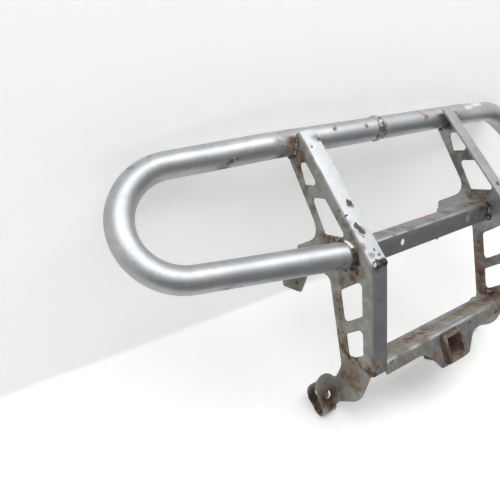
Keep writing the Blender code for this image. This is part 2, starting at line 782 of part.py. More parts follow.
def add_knee_beads(collection, cutters, frame):
    # A lump along the slit where the two flanges meet, hollowed to sit on both of them
    reach = 2 * FLANGE_WIDTH
    along = upperAlong * reach
    out = upperOut * GAP
    corner = cross_point((-GAP, 0.0), (0.0, 1.0), out, upperAlong)
    wedge = [corner, (corner[0] + along.x, corner[1] + along.y), (reach, -reach)]
    wedge.append((-GAP, -reach))
    for side in (-1, 1):
        name = bead_name("knee_weld", side)
        inner = HALF_SPAN - FLANGE_WIDTH + KNEE_BEAD_RADIUS / 2
        outer = HALF_SPAN - KNEE_BEAD_RADIUS / 2
        points = [Vector((side * x, -KNEE_BEAD_RADIUS / 3, 0.0)) for x in (inner, outer)]
        mesh = tube_mesh(name, points, KNEE_BEAD_RADIUS, KNEE_BEAD_SIDES)
        obj = add_part(name, mesh, collection, frame, WELD_BEAD, SHEET_SMOOTH)
        cutter = flat_mesh(f"{name}_seat", [wedge], 2 * FLANGE_WIDTH)
        place_flat(
            cutter,
            Vector((side * (HALF_SPAN - FLANGE_WIDTH / 2), 0.0, 0.0)),
            Vector((0.0, 1.0, 0.0)),
            Vector((0.0, 0.0, 1.0)),
        )
        subtract(obj, add_cutter(f"{name}_seat", cutter, cutters, frame))


def add_saddle_beads(collection, frame):
    # An arc in the corner between the hoop and each face of the side plate
    step = GAP + BEAD_RADIUS
    end = math.pi * 1.5 + SADDLE_START_BACK - SADDLE_BEAD_SHORT
    arc = arc_points(tubeCenter, TUBE_RADIUS + step, SADDLE_BEAD_START, end, ROUND_STEPS)
    places = (
        ("saddle_weld_outer", HALF_SPAN + step),
        ("saddle_weld_inner", HALF_SPAN - SHEET - step),
    )
    for side in (-1, 1):
        for base, x in places:
            name = bead_name(base, side)
            points = [Vector((side * x, y, z)) for y, z in arc]
            mesh = tube_mesh(name, points, BEAD_RADIUS, BEAD_SIDES)
            add_part(name, mesh, collection, frame, WELD_BEAD, BEAD_SMOOTH)


def add_hoop_end_beads(collection, cutters, frame, foot, heading):
    # A ring where the hoop's lower end meets the side plate, hollowed by the tube itself
    stretch = 1 / abs(heading.x)
    reach = TUBE_RADIUS + BEAD_RADIUS / 2
    for side in (-1, 1):
        name = bead_name("hoop_end_weld", side)
        points = []
        for i in range(END_BEAD_SEGMENTS):
            angle = math.tau * i / END_BEAD_SEGMENTS
            y = foot.y + reach * stretch * math.cos(angle)
            z = foot.z + reach * math.sin(angle)
            points.append(Vector((side * (HALF_SPAN + GAP + BEAD_RADIUS), y, z)))
        mesh = tube_mesh(name, points, BEAD_RADIUS, BEAD_SIDES, caps=False, cyclic=True)
        obj = add_part(name, mesh, collection, frame, WELD_BEAD, BEAD_SMOOTH)
        near = foot - heading * 3 * TUBE_RADIUS
        far = foot + heading * TUBE_RADIUS
        run = [Vector((p.x * -side, p.y, p.z)) for p in (near, far)]
        seat = tube_mesh(f"{name}_seat", run, TUBE_RADIUS + GAP, 2 * TUBE_SIDES)
        subtract(obj, add_cutter(f"{name}_seat", seat, cutters, frame))


def add_strap_beads(collection, frame):
    # Down the strap's front face where it meets each side plate
    step = GAP + BEAD_RADIUS
    x = HALF_SPAN - SHEET - step
    y = STRAP_BACK - step
    top = STRAP_TOP - FOLD_RADIUS
    bottom = STRAP_TOP - STRAP_HEIGHT + BEAD_RADIUS
    for side in (-1, 1):
        name = bead_name("strap_weld", side)
        points = [Vector((side * x, y, z)) for z in (bottom, (bottom + top) / 2, top)]
        mesh = tube_mesh(name, points, BEAD_RADIUS, BEAD_SIDES)
        add_part(name, mesh, collection, frame, WELD_BEAD, BEAD_SMOOTH)


def add_channel_beads(collection, frame):
    # Along the channel's top where it meets each side plate
    down, forward, fold_line = channel_axes()
    step = GAP + BEAD_RADIUS
    for side in (-1, 1):
        name = bead_name("channel_weld", side)
        base = fold_line - down * step + Vector((side * (HALF_SPAN - SHEET - step), 0.0, 0.0))
        runs = (2 * CHANNEL_RADIUS, CHANNEL_DEPTH / 2, CHANNEL_DEPTH - CHANNEL_RADIUS)
        points = [base - forward * run for run in runs]
        mesh = tube_mesh(name, points, BEAD_RADIUS, BEAD_SIDES)
        add_part(name, mesh, collection, frame, WELD_BEAD, BEAD_SMOOTH)


def add_receiver_bead(collection, frame):
    # A square ring where the receiver leaves the channel's front face
    down, forward, fold_line = channel_axes()
    step = GAP + RECEIVER_BEAD_RADIUS
    ring = receiver_outline(RECEIVER_SIZE + 2 * step, RECEIVER_CORNER)
    middle = fold_line + down * RECEIVER_DROP + forward * step
    points = [middle + Vector((u, 0.0, 0.0)) - down * v for u, v in ring]
    radius = RECEIVER_BEAD_RADIUS
    mesh = tube_mesh("receiver_weld", points, radius, BEAD_SIDES, caps=False, cyclic=True)
    add_part("receiver_weld", mesh, collection, frame, RUSTY_STEEL, BEAD_SMOOTH)


def build():
    clear_scene()
    parts = make_collection(COLLECTION)
    cutters = make_collection("cutters")
    frame = bpy.data.objects.new("bumper_frame", None)
    frame.location = ORIGIN_SHIFT
    parts.objects.link(frame)

    foot, heading = add_hoops(parts, cutters, frame)
    for side in (-1, 1):
        mesh = bracket_mesh(side)
        solid_sheet(add_part(mesh.name, mesh, parts, frame, SHEET_PAINT, SHEET_SMOOTH))
    add_strap(parts, frame)
    add_channel(parts, cutters, frame)
    add_receiver(parts, frame)
    add_seam_bead(parts, frame)
    add_knee_beads(parts, cutters, frame)
    add_saddle_beads(parts, frame)
    add_hoop_end_beads(parts, cutters, frame, foot, heading)
    add_strap_beads(parts, frame)
    add_channel_beads(parts, frame)
    add_receiver_bead(parts, frame)


build()
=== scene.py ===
import math

import bmesh
import bpy
import numpy as np
from mathutils import Matrix, Vector


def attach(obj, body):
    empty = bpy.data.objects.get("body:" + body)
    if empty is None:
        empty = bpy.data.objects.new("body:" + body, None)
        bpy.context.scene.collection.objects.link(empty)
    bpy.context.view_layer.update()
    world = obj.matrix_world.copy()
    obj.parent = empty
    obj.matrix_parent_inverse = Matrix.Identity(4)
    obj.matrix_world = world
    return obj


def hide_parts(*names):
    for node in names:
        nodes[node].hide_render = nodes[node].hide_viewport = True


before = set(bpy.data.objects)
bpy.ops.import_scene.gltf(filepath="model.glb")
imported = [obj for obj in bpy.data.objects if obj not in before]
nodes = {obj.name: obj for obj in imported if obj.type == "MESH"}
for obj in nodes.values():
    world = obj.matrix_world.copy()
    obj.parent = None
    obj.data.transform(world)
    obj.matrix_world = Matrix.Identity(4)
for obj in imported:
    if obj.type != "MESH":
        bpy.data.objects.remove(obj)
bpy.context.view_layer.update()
print("frame loaded:", len(nodes), "nodes")


# Small helpers for surfaces


def unit(vector):
    vector = np.asarray(vector, float)
    return vector / np.linalg.norm(vector, axis=-1, keepdims=True)


def gridFaces(rows, columns, closeRows=False, closeColumns=True):
    # Quads between neighbours of a rows x columns grid of points, row by row
    i = np.arange(rows if closeRows else rows - 1)[:, None]
    j = np.arange(columns if closeColumns else columns - 1)[None, :]
    nextRow, nextColumn = (i + 1) % rows, (j + 1) % columns
    corners = (i * columns + j, i * columns + nextColumn, nextRow * columns + nextColumn)
    return np.stack([*np.broadcast_arrays(*corners, nextRow * columns + j)], -1).reshape(-1, 4)


def newMesh(name, points, faces):
    mesh = bpy.data.meshes.new(name)
    mesh.from_pydata(points.reshape(-1, 3).tolist(), [], faces.tolist())
    return mesh


def tidyMesh(mesh, merge=1e-6):
    # Doubles at poles and seams are merged and the faces turned outwards
    bm = bmesh.new()
    bm.from_mesh(mesh)
    bmesh.ops.remove_doubles(bm, verts=bm.verts, dist=merge)
    bmesh.ops.recalc_face_normals(bm, faces=bm.faces)
    bm.to_mesh(mesh)
    bm.free()
    return mesh


def addPiece(name, mesh, material, standsFor):
    piece = bpy.data.objects.new(name, mesh)
    bpy.context.scene.collection.objects.link(piece)
    mesh.materials.clear()
    mesh.materials.append(material)
    mesh.shade_smooth()
    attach(piece, "root")
    if standsFor:
        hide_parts(*standsFor)
    return piece


def waves(seed, count, lowest, highest, *axes):
    # Smooth noise between about -1 and 1: a sum of sine waves of random directions and phases
    rng = np.random.default_rng(seed)
    total = 0.0
    for _ in range(count):
        rates = rng.normal(size=len(axes))
        rates *= rng.uniform(lowest, highest) / np.linalg.norm(rates)
        phase = rng.uniform(0, math.tau)
        total = total + np.sin(sum(rate * axis for rate, axis in zip(rates, axes)) + phase)
    return total / math.sqrt(count)


def smooth(low, high, value):
    t = np.clip((value - low) / (high - low), 0, 1)
    return t * t * (3 - 2 * t)


# Shader maths


class Field:
    # A socket that takes arithmetic: each operator adds its Math node
    def __init__(self, graph, socket):
        self.graph = graph
        self.socket = socket

    def math(self, operation, first, second=0.0):
        return self.graph.node("Math", {"operation": operation}, {0: first, 1: second})

    def __add__(self, other):
        return self.math("ADD", self, other)

    def __radd__(self, other):
        return self.math("ADD", other, self)

    def __sub__(self, other):
        return self.math("SUBTRACT", self, other)

    def __rsub__(self, other):
        return self.math("SUBTRACT", other, self)

    def __mul__(self, other):
        return self.math("MULTIPLY", self, other)

    def __rmul__(self, other):
        return self.math("MULTIPLY", other, self)

    def __truediv__(self, other):
        return self.math("DIVIDE", self, other)

    def most(self, other):
        return self.math("MAXIMUM", self, other)

    def least(self, other):
        return self.math("MINIMUM", self, other)

    def between(self, low, high):
        settings = {"interpolation_type": "SMOOTHSTEP", "clamp": True}
        return self.graph.node("MapRange", settings, {0: self, 1: low, 2: high, 3: 0.0, 4: 1.0})


class Graph:
    # The nodes of one material or world. node() adds any node: its settings, then its sockets
    def __init__(self, owner, output="OutputMaterial"):
        self.owner = owner
        owner.use_nodes = True
        self.tree = owner.node_tree
        self.tree.nodes.clear()
        self.out = self.tree.nodes.new("ShaderNode" + output)

    def plug(self, socket, value):
        if isinstance(value, Field):
            self.tree.links.new(value.socket, socket)
        elif socket.type == "RGBA" and len(value) == 3:
            socket.default_value = (*value, 1.0)
        else:
            socket.default_value = value

    def node(self, kind, settings=None, sockets=None, output=0):
        made = self.tree.nodes.new("ShaderNode" + kind)
        for key, value in (settings or {}).items():
            if key == "stops":
                self.setStops(made.color_ramp, value)
            else:
                setattr(made, key, value)
        for key, value in (sockets or {}).items():
            self.plug(made.inputs[key], value)
        return Field(self, made.outputs[output])

    def setStops(self, ramp, stops):
        while len(ramp.elements) < len(stops):
            ramp.elements.new(0.5)
        for element, (place, color) in zip(ramp.elements, stops):
            element.position = place
            element.color = (*color, 1.0)

    def coords(self):
        return self.node("TexCoord", output="Object")

    def stretched(self, coords, scale):
        return self.node("Mapping", {}, {"Vector": coords, "Scale": scale})

    def noise(self, coords, scale, detail=4.0, roughness=0.55, distortion=0.0):
        sockets = {"Vector": coords, "Scale": scale, "Detail": detail}
        sockets.update({"Roughness": roughness, "Distortion": distortion})
        return self.node("TexNoise", {}, sockets)

    def cells(self, coords, scale):
        return self.node("TexVoronoi", {"feature": "F1"}, {"Vector": coords, "Scale": scale})

    def mix(self, mask, first, second):
        settings = {"data_type": "RGBA"}
        return self.node("Mix", settings, {0: mask, 6: first, 7: second}, output=2)

    def vector(self, operation, first, second, output=0):
        return self.node("VectorMath", {"operation": operation}, {0: first, 1: second}, output)

    def shifted(self, coords, scale, amount):
        # The coordinates pushed about by coloured noise, so that edges come out ragged
        sockets = {"Vector": coords, "Scale": scale, "Detail": 3.0}
        push = self.node("TexNoise", {}, sockets, output="Color")
        push = self.vector("SUBTRACT", push, (0.5, 0.5, 0.5))
        settings = {"operation": "SCALE"}
        push = self.node("VectorMath", settings, {0: push, "Scale": amount})
        return self.vector("ADD", coords, push)

    def parts(self, coords):
        return [self.node("SeparateXYZ", {}, {0: coords}, output=axis) for axis in range(3)]

    def spots(self, coords, places):
        # 1 in the middle of each (x, y, z, radius), 0 from its radius on, in millimetres
        total = None
        for x, y, z, radius in places:
            point = (x / 1000, y / 1000, z / 1000)
            away = self.vector("DISTANCE", coords, point, output=1)
            spot = 1 - away / (radius / 1000)
            total = spot if total is None else total.most(spot)
        return total.most(0.0)

    def edges(self, radius):
        # 1 beside sharp edges, where the rounded normal departs from the real one
        rounded = self.node("Bevel", {"samples": 4}, {"Radius": radius})
        flat = self.node("NewGeometry", output="Normal")
        return 1 - self.vector("DOT_PRODUCT", rounded, flat, output=1)

    def finish(self, color, roughness, metallic, height, depth):
        sockets = {"Base Color": color, "Roughness": roughness, "Metallic": metallic}
        bump = {"Height": height, "Distance": depth, "Strength": 1.0}
        sockets["Normal"] = self.node("Bump", {}, bump)
        return self.show(self.node("BsdfPrincipled", {}, sockets))

    def seenRays(self):
        # 1 for what the camera, a reflection or a transmission sees, 0 for light on surfaces
        kinds = ("Is Camera Ray", "Is Glossy Ray", "Is Transmission Ray")
        camera, glossy, through = [self.node("LightPath", output=kind) for kind in kinds]
        return camera.most(glossy).most(through)

    def show(self, shader):
        self.tree.links.new(shader.socket, self.out.inputs["Surface"])
        return self.owner


def materialGraph(name):
    return Graph(bpy.data.materials.new(name))


# Paint and rust

paintLook = {
    "silver": (0.425, 0.440, 0.455),
    "pale": (0.500, 0.512, 0.525),
    "film": (0.262, 0.243, 0.190),
    "brown": (0.205, 0.135, 0.092),
    "grime": (0.130, 0.115, 0.092),
    "bare": (0.075, 0.058, 0.044),
    "scuffed": (0.330, 0.335, 0.335),
    "mark": (0.620, 0.150, 0.060),
    "label": (0.780, 0.780, 0.760),
    "scratched": (0.260, 0.262, 0.260),
    "chipRim": (0.580, 0.580, 0.560),
    "bareRust": (0.160, 0.125, 0.090),
    "nearBlack": (0.030, 0.024, 0.020),
    "splashAndHighlight": (0.720, 0.720, 0.700),
    "weldScale": (0.085, 0.068, 0.055),
    "weldSoot": (0.022, 0.018, 0.016),
    "weldSplashAndHighlight": (0.780, 0.780, 0.760),
    "roughness": 0.26,
    "metallic": 0.74,
}

# Between these distances from the middle the side plates' outer film sets in
filmStart = (0.1440, 0.1456)

# Labels fade in over their rims, and end before the top of the swept-back tube
labelLook = {
    "sideRim": 0.001,
    "topRim": 0.0006,
    "slope": math.tan(math.radians(11.0)),
    "back": (0.0462, 0.0468),
    "cover": 0.9,
}

# Noises in cycles a metre, and in metres the push of ragged edges, worn edges and bump depths
grainLook = {
    "ragged": (150.0, 0.008),
    "soft": (55.0, 0.014),
    "fine": 430.0,
    "speck": 640.0,
    "blotch": 95.0,
    "cloud": 24.0,
    "flake": 2800.0,
    "rust": 320.0,
    "scratch": ((34.0, 420.0, 420.0), 3.0),
    "scratchAcross": ((460.0, 50.0, 80.0), 3.0),
    "wornEdge": 0.0013,
    "paintDepth": 0.0007,
    "weld": 560.0,
    "weldPatch": 150.0,
    "weldDepth": 0.0005,
}

# The colour of rust by the grain of its noise
rustStops = [
    (0.34, (0.042, 0.026, 0.020)),
    (0.45, (0.088, 0.046, 0.032)),
    (0.54, (0.150, 0.078, 0.048)),
    (0.63, (0.225, 0.122, 0.070)),
    (0.74, (0.330, 0.205, 0.115)),
]


def rustColor(graph, coords):
    grain = graph.noise(coords, grainLook["rust"], detail=8.0, roughness=0.7, distortion=0.2)
    return graph.node("ValToRGB", {"stops": rustStops}, {0: grain})


def labelMask(graph, coords, places):
    # 1 on each (left, right, low, high) patch of the tube's front
    ahead, depth, upright = graph.parts(coords)
    side, top = labelLook["sideRim"], labelLook["topRim"]
    front = 1 - (depth - labelLook["slope"] * ahead).between(*labelLook["back"])
    total = None
    for left, right, low, high in places:
        inside = ahead.between(left, left + side) * (1 - ahead.between(right - side, right))
        inside = inside * upright.between(low, low + top)
        inside = inside * (1 - upright.between(high - top, high)) * front
        total = inside if total is None else total.most(inside)
    return total


def paintedSteel(
    name, rust, stain, dirt, chips=(), dark=(), bright=(), marks=(), labels=(),
    tone=1.0, plateFilm=0.0, rough=0.0, speckle=0.0, edgeWear=0.0,
):
    # Satin silver paint over steel. rust eats through in ragged spots, stain is a brown film that
    # thins outwards and holds rusty specks, dirt a grey-brown one, chips are breaks in the paint,
    # dark is near-black: soot by welds, and painted shade in holes, gaps and the receiver's bore,
    # bright is worn or splashed metal with a painted highlight. plateFilm dulls the side
    # plates' outer faces, speckle strengthens the dark specks, and edgeWear rusts sharp edges
    graph = materialGraph(name)
    coords = graph.coords()
    ragged = graph.shifted(coords, *grainLook["ragged"])
    soft = graph.shifted(coords, *grainLook["soft"])
    fine = graph.noise(coords, grainLook["fine"], detail=6.0, roughness=0.7)
    speck = graph.noise(coords, grainLook["speck"], detail=3.0, roughness=0.6)
    blotch = graph.noise(coords, grainLook["blotch"], detail=6.0, roughness=0.65)
    cloud = graph.noise(coords, grainLook["cloud"], detail=5.0, roughness=0.6)
    flake = graph.cells(coords, grainLook["flake"])
    stretch, scale = grainLook["scratch"]
    scratch = graph.noise(graph.stretched(coords, stretch), scale, detail=3.0)
    stretch, scale = grainLook["scratchAcross"]
    scratchAcross = graph.noise(graph.stretched(coords, stretch), scale, detail=3.0)

    # Paint, with pale clouds, scuffs, specks and fine scratches
    rusted = rustColor(graph, coords)
    plain = [tuple(tone * part for part in paintLook[key]) for key in ("silver", "pale", "scuffed")]
    color = graph.mix(cloud.between(0.36, 0.64), plain[0], plain[1])
    color = graph.mix(blotch.between(0.42, 0.60) * 0.30, color, plain[2])
    peppered = (speck + 0.35 * cloud + 0.10 * speckle - 0.84).between(0.0, 0.06) * (0.6 + speckle)
    color = graph.mix(peppered, color, paintLook["grime"])
    scuff = (scratch.between(0.58, 0.70) + scratchAcross.between(0.62, 0.74)) * 0.35
    color = graph.mix(scuff, color, paintLook["scratched"])
    cover = peppered * 0.5

    # What was put on the paint
    if marks:
        drawn = (graph.spots(ragged, marks) + 0.2 * fine - 0.1).between(0.10, 0.30)
        color = graph.mix(drawn * 0.75, color, paintLook["mark"])
        cover = cover.most(drawn)
    if labels:
        inside = labelMask(graph, coords, labels)
        color = graph.mix(inside * labelLook["cover"], color, paintLook["label"])
        cover = cover.most(inside)

    # Films of dirt and stain
    if plateFilm:
        across = graph.parts(coords)[0]
        outer = across.math("ABSOLUTE", across).between(*filmStart)
        layer = 0.45 + 0.9 * cloud.between(0.36, 0.62) * blotch.between(0.36, 0.58)
        layer = outer * plateFilm * layer
        color = graph.mix(layer.least(0.8), color, paintLook["film"])
        cover = cover.most(layer)
    near = graph.spots(soft, dirt).between(0.0, 0.85)
    layer = (near * (0.40 + 0.55 * blotch.between(0.38, 0.60))).least(0.75)
    color = graph.mix(layer, color, paintLook["grime"])
    cover = cover.most(layer)
    near = graph.spots(soft, stain).between(0.0, 0.60)
    layer = (near * (0.55 + 0.40 * blotch.between(0.36, 0.60))).least(0.85)
    brown = (cloud + 0.4 * blotch).between(0.66, 0.86)
    color = graph.mix(layer, color, graph.mix(brown, paintLook["film"], paintLook["brown"]))
    specks = (speck + 0.10 * near + 0.3 * blotch - 0.77).between(0.0, 0.08) * near.between(0.05, 0.4)
    color = graph.mix(specks * 0.85, color, rusted)
    cover = cover.most(layer).most(specks)

    # Rust through the paint, and along worn edges
    patches = graph.spots(ragged, rust)
    rusty = (patches * 1.05 + blotch * 0.95 + fine * 0.55 - 0.98).between(0.0, 0.52)
    if edgeWear:
        worn = graph.edges(grainLook["wornEdge"]).between(0.02, 0.22)
        worn = (worn * edgeWear * 0.7 + blotch * 0.9 + fine * 0.4 - 0.92).between(0.02, 0.30)
        rusty = rusty.most(worn)
    color = graph.mix(rusty * 0.95, color, rusted)
    cover = cover.most(rusty)
    height = 0.05 * fine + 0.03 * flake + 0.30 * rusty * fine + 0.12 * cover * blotch - 0.06 * scuff

    # Chips down to bare metal, near-black soot and painted shade, and splashed metal with a painted
    # highlight
    if chips:
        flaked = graph.spots(ragged, chips) + 0.25 * fine - 0.12
        rim = flaked.between(0.04, 0.12)
        inner = flaked.between(0.12, 0.20)
        color = graph.mix(rim * 0.5, color, paintLook["chipRim"])
        base = graph.mix(fine.between(0.42, 0.60), paintLook["bare"], paintLook["bareRust"])
        color = graph.mix(inner, color, base)
        cover = cover.most(inner)
        height = height - 0.30 * inner
    if dark:
        nearBlack = graph.spots(soft, dark).between(0.0, 0.75)
        color = graph.mix((nearBlack * (0.65 + 0.4 * blotch)).least(0.96), color, paintLook["nearBlack"])
        cover = cover.most(nearBlack)
    shine = 1 - cover * 0.92
    if bright:
        bareAndHighlight = (graph.spots(ragged, bright) + 0.3 * fine - 0.15).between(0.10, 0.30)
        color = graph.mix(bareAndHighlight, color, paintLook["splashAndHighlight"])
        shine = shine.most(bareAndHighlight)
    roughness = paintLook["roughness"] + rough + 0.08 * cloud + 0.05 * flake + 0.42 * cover
    metallic = paintLook["metallic"] * shine
    return graph.finish(color, roughness, metallic, height, grainLook["paintDepth"])


def weldMetal(name, scale=0.5, paint=0.5, brown=0.5, bright=(), dark=()):
    # Weld bead: silver paint on the crests, dark scale and rust in the hollows
    graph = materialGraph(name)
    coords = graph.coords()
    grain = graph.noise(coords, grainLook["weld"], detail=7.0, roughness=0.7)
    patch = graph.noise(coords, grainLook["weldPatch"], detail=5.0, roughness=0.6)
    painted = patch.between(0.62 - 0.3 * paint, 0.74 - 0.3 * paint)
    scaled = tuple(scale * part for part in paintLook["weldScale"])
    color = graph.mix(painted, scaled, paintLook["silver"])
    rusted = (grain * 0.8 + (1 - patch) * 0.5 + 0.25 * brown - 0.70).between(0.05, 0.25)
    color = graph.mix(rusted * 0.9, color, rustColor(graph, coords))
    shine = painted * (1 - rusted)
    if dark:
        nearBlack = graph.spots(coords, dark).between(0.0, 0.5)
        color = graph.mix(nearBlack * 0.95, color, paintLook["weldSoot"])
        shine = shine * (1 - nearBlack)
    # Near-white spots: splashed metal with a painted highlight
    if bright:
        bareAndHighlight = graph.spots(coords, bright).between(0.05, 0.4)
        color = graph.mix(bareAndHighlight, color, paintLook["weldSplashAndHighlight"])
        shine = shine.most(bareAndHighlight)
    height = grain + 0.5 * patch
    return graph.finish(color, 0.66 - 0.38 * shine, 0.8 * shine, height, grainLook["weldDepth"])


print("materials ready")

# Hoops

hoop = {
    "radius": 0.015875,
    "wall": 0.002,
    "centre": (0.08624, 0.13378),
    "gap": 0.00015,
    "straight": 0.1844,
    "sweepRadius": 0.090,
    "sweepAngle": math.radians(11.0),
    "sweepDrop": math.radians(2.3),
    "leg": 0.1156,
    "bendRadius": 0.0655,
    "bendAngle": math.radians(173.7),
    "lean": math.radians(33.3),
    "plateFace": 0.1473,
    "around": 96,
    "step": 0.0026,
    "oval": 0.00035,
    "ovalReach": (0.095, 0.060),
    "dent": 0.00010,
    "dentWaves": (9, 20, 60),
    "dentTurn": 0.03,
    "seeds": {-1: 4, 1: 9},
}
sideName = {-1: "_left", 1: "_right"}


def hoopPath():
    # Straight along the top, a slight bend back, a straight leg, the end bend, and a straight
    # run to the side plate: each an array of points, one after the other
    y, z = hoop["centre"]
    ahead = np.array((-1.0, 0.0, 0.0))
    sweep, drop = hoop["sweepAngle"], hoop["sweepDrop"]
    leg = np.array((-math.cos(sweep), math.sin(sweep), 0.0)) * math.cos(drop)
    leg[2] = -math.sin(drop)
    corner = np.array((-hoop["straight"], y, z))
    turn = math.acos(ahead @ leg)
    inward = unit(leg - ahead * (ahead @ leg))
    first = corner - ahead * hoop["sweepRadius"] * math.tan(turn / 2)
    start = np.array((-hoop["gap"], y, z))
    middle = first + inward * hoop["sweepRadius"]
    bendStart = corner + leg * hoop["leg"]
    down = np.array((0.0, 0.0, -1.0))
    down = unit(down - leg * (down @ leg))
    front = np.cross(down, leg)
    front = -front if front[1] > 0 else front
    fall = down * math.cos(hoop["lean"]) + front * math.sin(hoop["lean"])
    bendMiddle = bendStart + fall * hoop["bendRadius"]

    def line(a, b):
        count = max(2, int(np.linalg.norm(b - a) / hoop["step"]))
        return a + (b - a) * np.linspace(0, 1, count, endpoint=False)[:, None]

    def arc(centre, toStart, onward, radius, angle):
        count = int(radius * angle / hoop["step"]) + 4
        t = np.linspace(0, angle, count, endpoint=False)[:, None]
        return centre + radius * (toStart * np.cos(t) + onward * np.sin(t))

    sweepArc = arc(middle, -inward, ahead, hoop["sweepRadius"], turn)
    sweepEnd = middle + hoop["sweepRadius"] * (-inward * math.cos(turn) + ahead * math.sin(turn))
    bend = arc(bendMiddle, -fall, leg, hoop["bendRadius"], hoop["bendAngle"])
    c, s = math.cos(hoop["bendAngle"]), math.sin(hoop["bendAngle"])
    bendEnd = bendMiddle + hoop["bendRadius"] * (leg * s - fall * c)
    heading = leg * c + fall * s
    foot = bendEnd + heading * ((-hoop["plateFace"] - bendEnd[0]) / heading[0])
    pieces = [line(start, first), sweepArc, line(sweepEnd, bendStart), bend, line(bendEnd, foot)]
    return np.concatenate(pieces + [foot[None]]), heading, np.cross(leg, fall), bendMiddle


def addHoop(side, material):
    # Point = path + radius * (across cos a + up sin a); the same grid runs back inside the wall
    path, heading, planeNormal, bendMiddle = hoopPath()
    ahead = unit(np.gradient(path, axis=0))
    ahead[-1] = heading
    across = unit(np.cross(ahead, planeNormal))
    up = np.cross(across, ahead)
    angle = np.linspace(0, math.tau, hoop["around"], endpoint=False)[None, :, None]
    along = np.cumsum(np.r_[0, np.linalg.norm(np.diff(path, axis=0), axis=1)])[:, None]
    # The bend is a little flattened, and a few shallow dents follow the tube
    nearBend = smooth(*hoop["ovalReach"], np.linalg.norm(path - bendMiddle, axis=1))[:, None]
    ring = angle[..., 0]
    oval = -hoop["oval"] * nearBend * np.cos(2 * ring)
    around = ring * hoop["dentTurn"]
    dents = hoop["dent"] * waves(hoop["seeds"][side], *hoop["dentWaves"], along, around)
    surface = []
    for radius in (hoop["radius"], hoop["radius"] - hoop["wall"]):
        reach = (radius + oval + dents)[..., None]
        spoke = across[:, None] * np.cos(angle) + up[:, None] * np.sin(angle)
        points = path[:, None] + reach * spoke
        slide = (-hoop["plateFace"] - points[-1, :, 0]) / heading[0]
        points[-1] += slide[:, None] * heading
        surface.append(points)
    grid = np.concatenate([surface[0], surface[1][::-1]])
    grid[..., 0] *= -side
    name = "hoop_skin" + sideName[side]
    mesh = tidyMesh(newMesh(name, grid, gridFaces(*grid.shape[:2], closeRows=True)))
    addPiece(name, mesh, material, ["hoop_tube" + sideName[side]])


# Where the finishes are worn, and where shade and highlights are painted on: (x, y, z, radius) of
# each spot, in millimetres
tubeRust = [
    (-153, 71, 139, 7), (-151, 66, 128, 8), (-148, 84, 116, 8), (-232, 81, 125, 7),
    (-236, 82, 122, 5), (-226, 80, 127, 4), (-150, -21, 4, 8), (-149, -19, -3, 9),
    (-150, -12, -8, 8), (-275, 17, 6, 2.6), (153, 71, 139, 8), (150, -22, 2, 11),
    (150, 0, -8, 10), (-85, 73, 143, 4), (-4, 71, 135, 5), (2, 77, 120, 8), (-3, 96, 147, 6),
    (3, 102, 136, 8), (-152, 70, 146, 6), (-6, 72, 124, 6), (5, 70, 131, 5),
]
tubeStain = [
    (-153, 73, 128, 15), (-156, 68, 137, 12), (-149, 80, 119, 14), (-151, -12, 3, 13),
    (-151, 6, 0, 12), (0, 72, 138, 13), (0, 72, 128, 13), (0, 84, 119, 13), (0, 84, 149, 12),
    (0, 100, 140, 12), (-158, 76, 124, 12), (-150, 86, 149, 8), (-30, 72, 140, 5),
    (153, 73, 128, 15), (151, -12, 3, 14), (90, 70, 140, 8), (-148, -20, -4, 12),
]
tubeDirt = [
    (-160, 74, 130, 24), (-85, 73, 143, 5), (-340, 103, 131, 6), (-317, 103, 140, 5),
    (-160, -10, 4, 20), (0, 76, 130, 14), (160, 74, 130, 22), (160, -10, 4, 18),
    (-130, 70, 128, 8), (120, 72, 126, 12), (-290, 20, 2, 12), (-240, 86, 118, 10),
]
# Left, right, low and high of each label, in metres
tubeLabels = [(0.1900, 0.2185, 0.1400, 0.1462), (0.2235, 0.2620, 0.1422, 0.1478)]
tubeMarks = [(86, 76, 146, 3.5), (88, 74, 142, 3.0), (84, 80, 148, 2.5)]
tubeMaterial = paintedSteel(
    "tubePaint", tubeRust, tubeStain, tubeDirt, marks=tubeMarks, labels=tubeLabels,
    tone=0.97, rough=0.11,
)
for side in (-1, 1):
    addHoop(side, tubeMaterial)
print("hoops done")

# Folded sheet pieces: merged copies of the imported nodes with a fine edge

sheetFinish = {
    "edge": 0.0004,
    "edgeSteps": 2,
    "edgeAngle": math.radians(40),
    "flat": math.radians(0.4),
    "merge": 1e-6,
}


def addSheetCopy(node, name, material):
    source = nodes[node].data
    points = np.empty(len(source.vertices) * 3)
    source.vertices.foreach_get("co", points)
    corners = np.empty(len(source.loops), int)
    source.loops.foreach_get("vertex_index", corners)
    mesh = newMesh(name, points, corners.reshape(-1, 3))
    bm = bmesh.new()
    bm.from_mesh(mesh)
    bmesh.ops.remove_doubles(bm, verts=bm.verts, dist=sheetFinish["merge"])
    flat = sheetFinish["flat"]
    bmesh.ops.dissolve_limit(bm, angle_limit=flat, verts=bm.verts, edges=bm.edges)
    bm.to_mesh(mesh)
    bm.free()
    piece = addPiece(name, mesh, material, [node])
    bevel = piece.modifiers.new("edge", "BEVEL")
    bevel.width = sheetFinish["edge"]
    bevel.segments = sheetFinish["edgeSteps"]
    bevel.limit_method = "ANGLE"
    bevel.angle_limit = sheetFinish["edgeAngle"]
    bevel.harden_normals = True


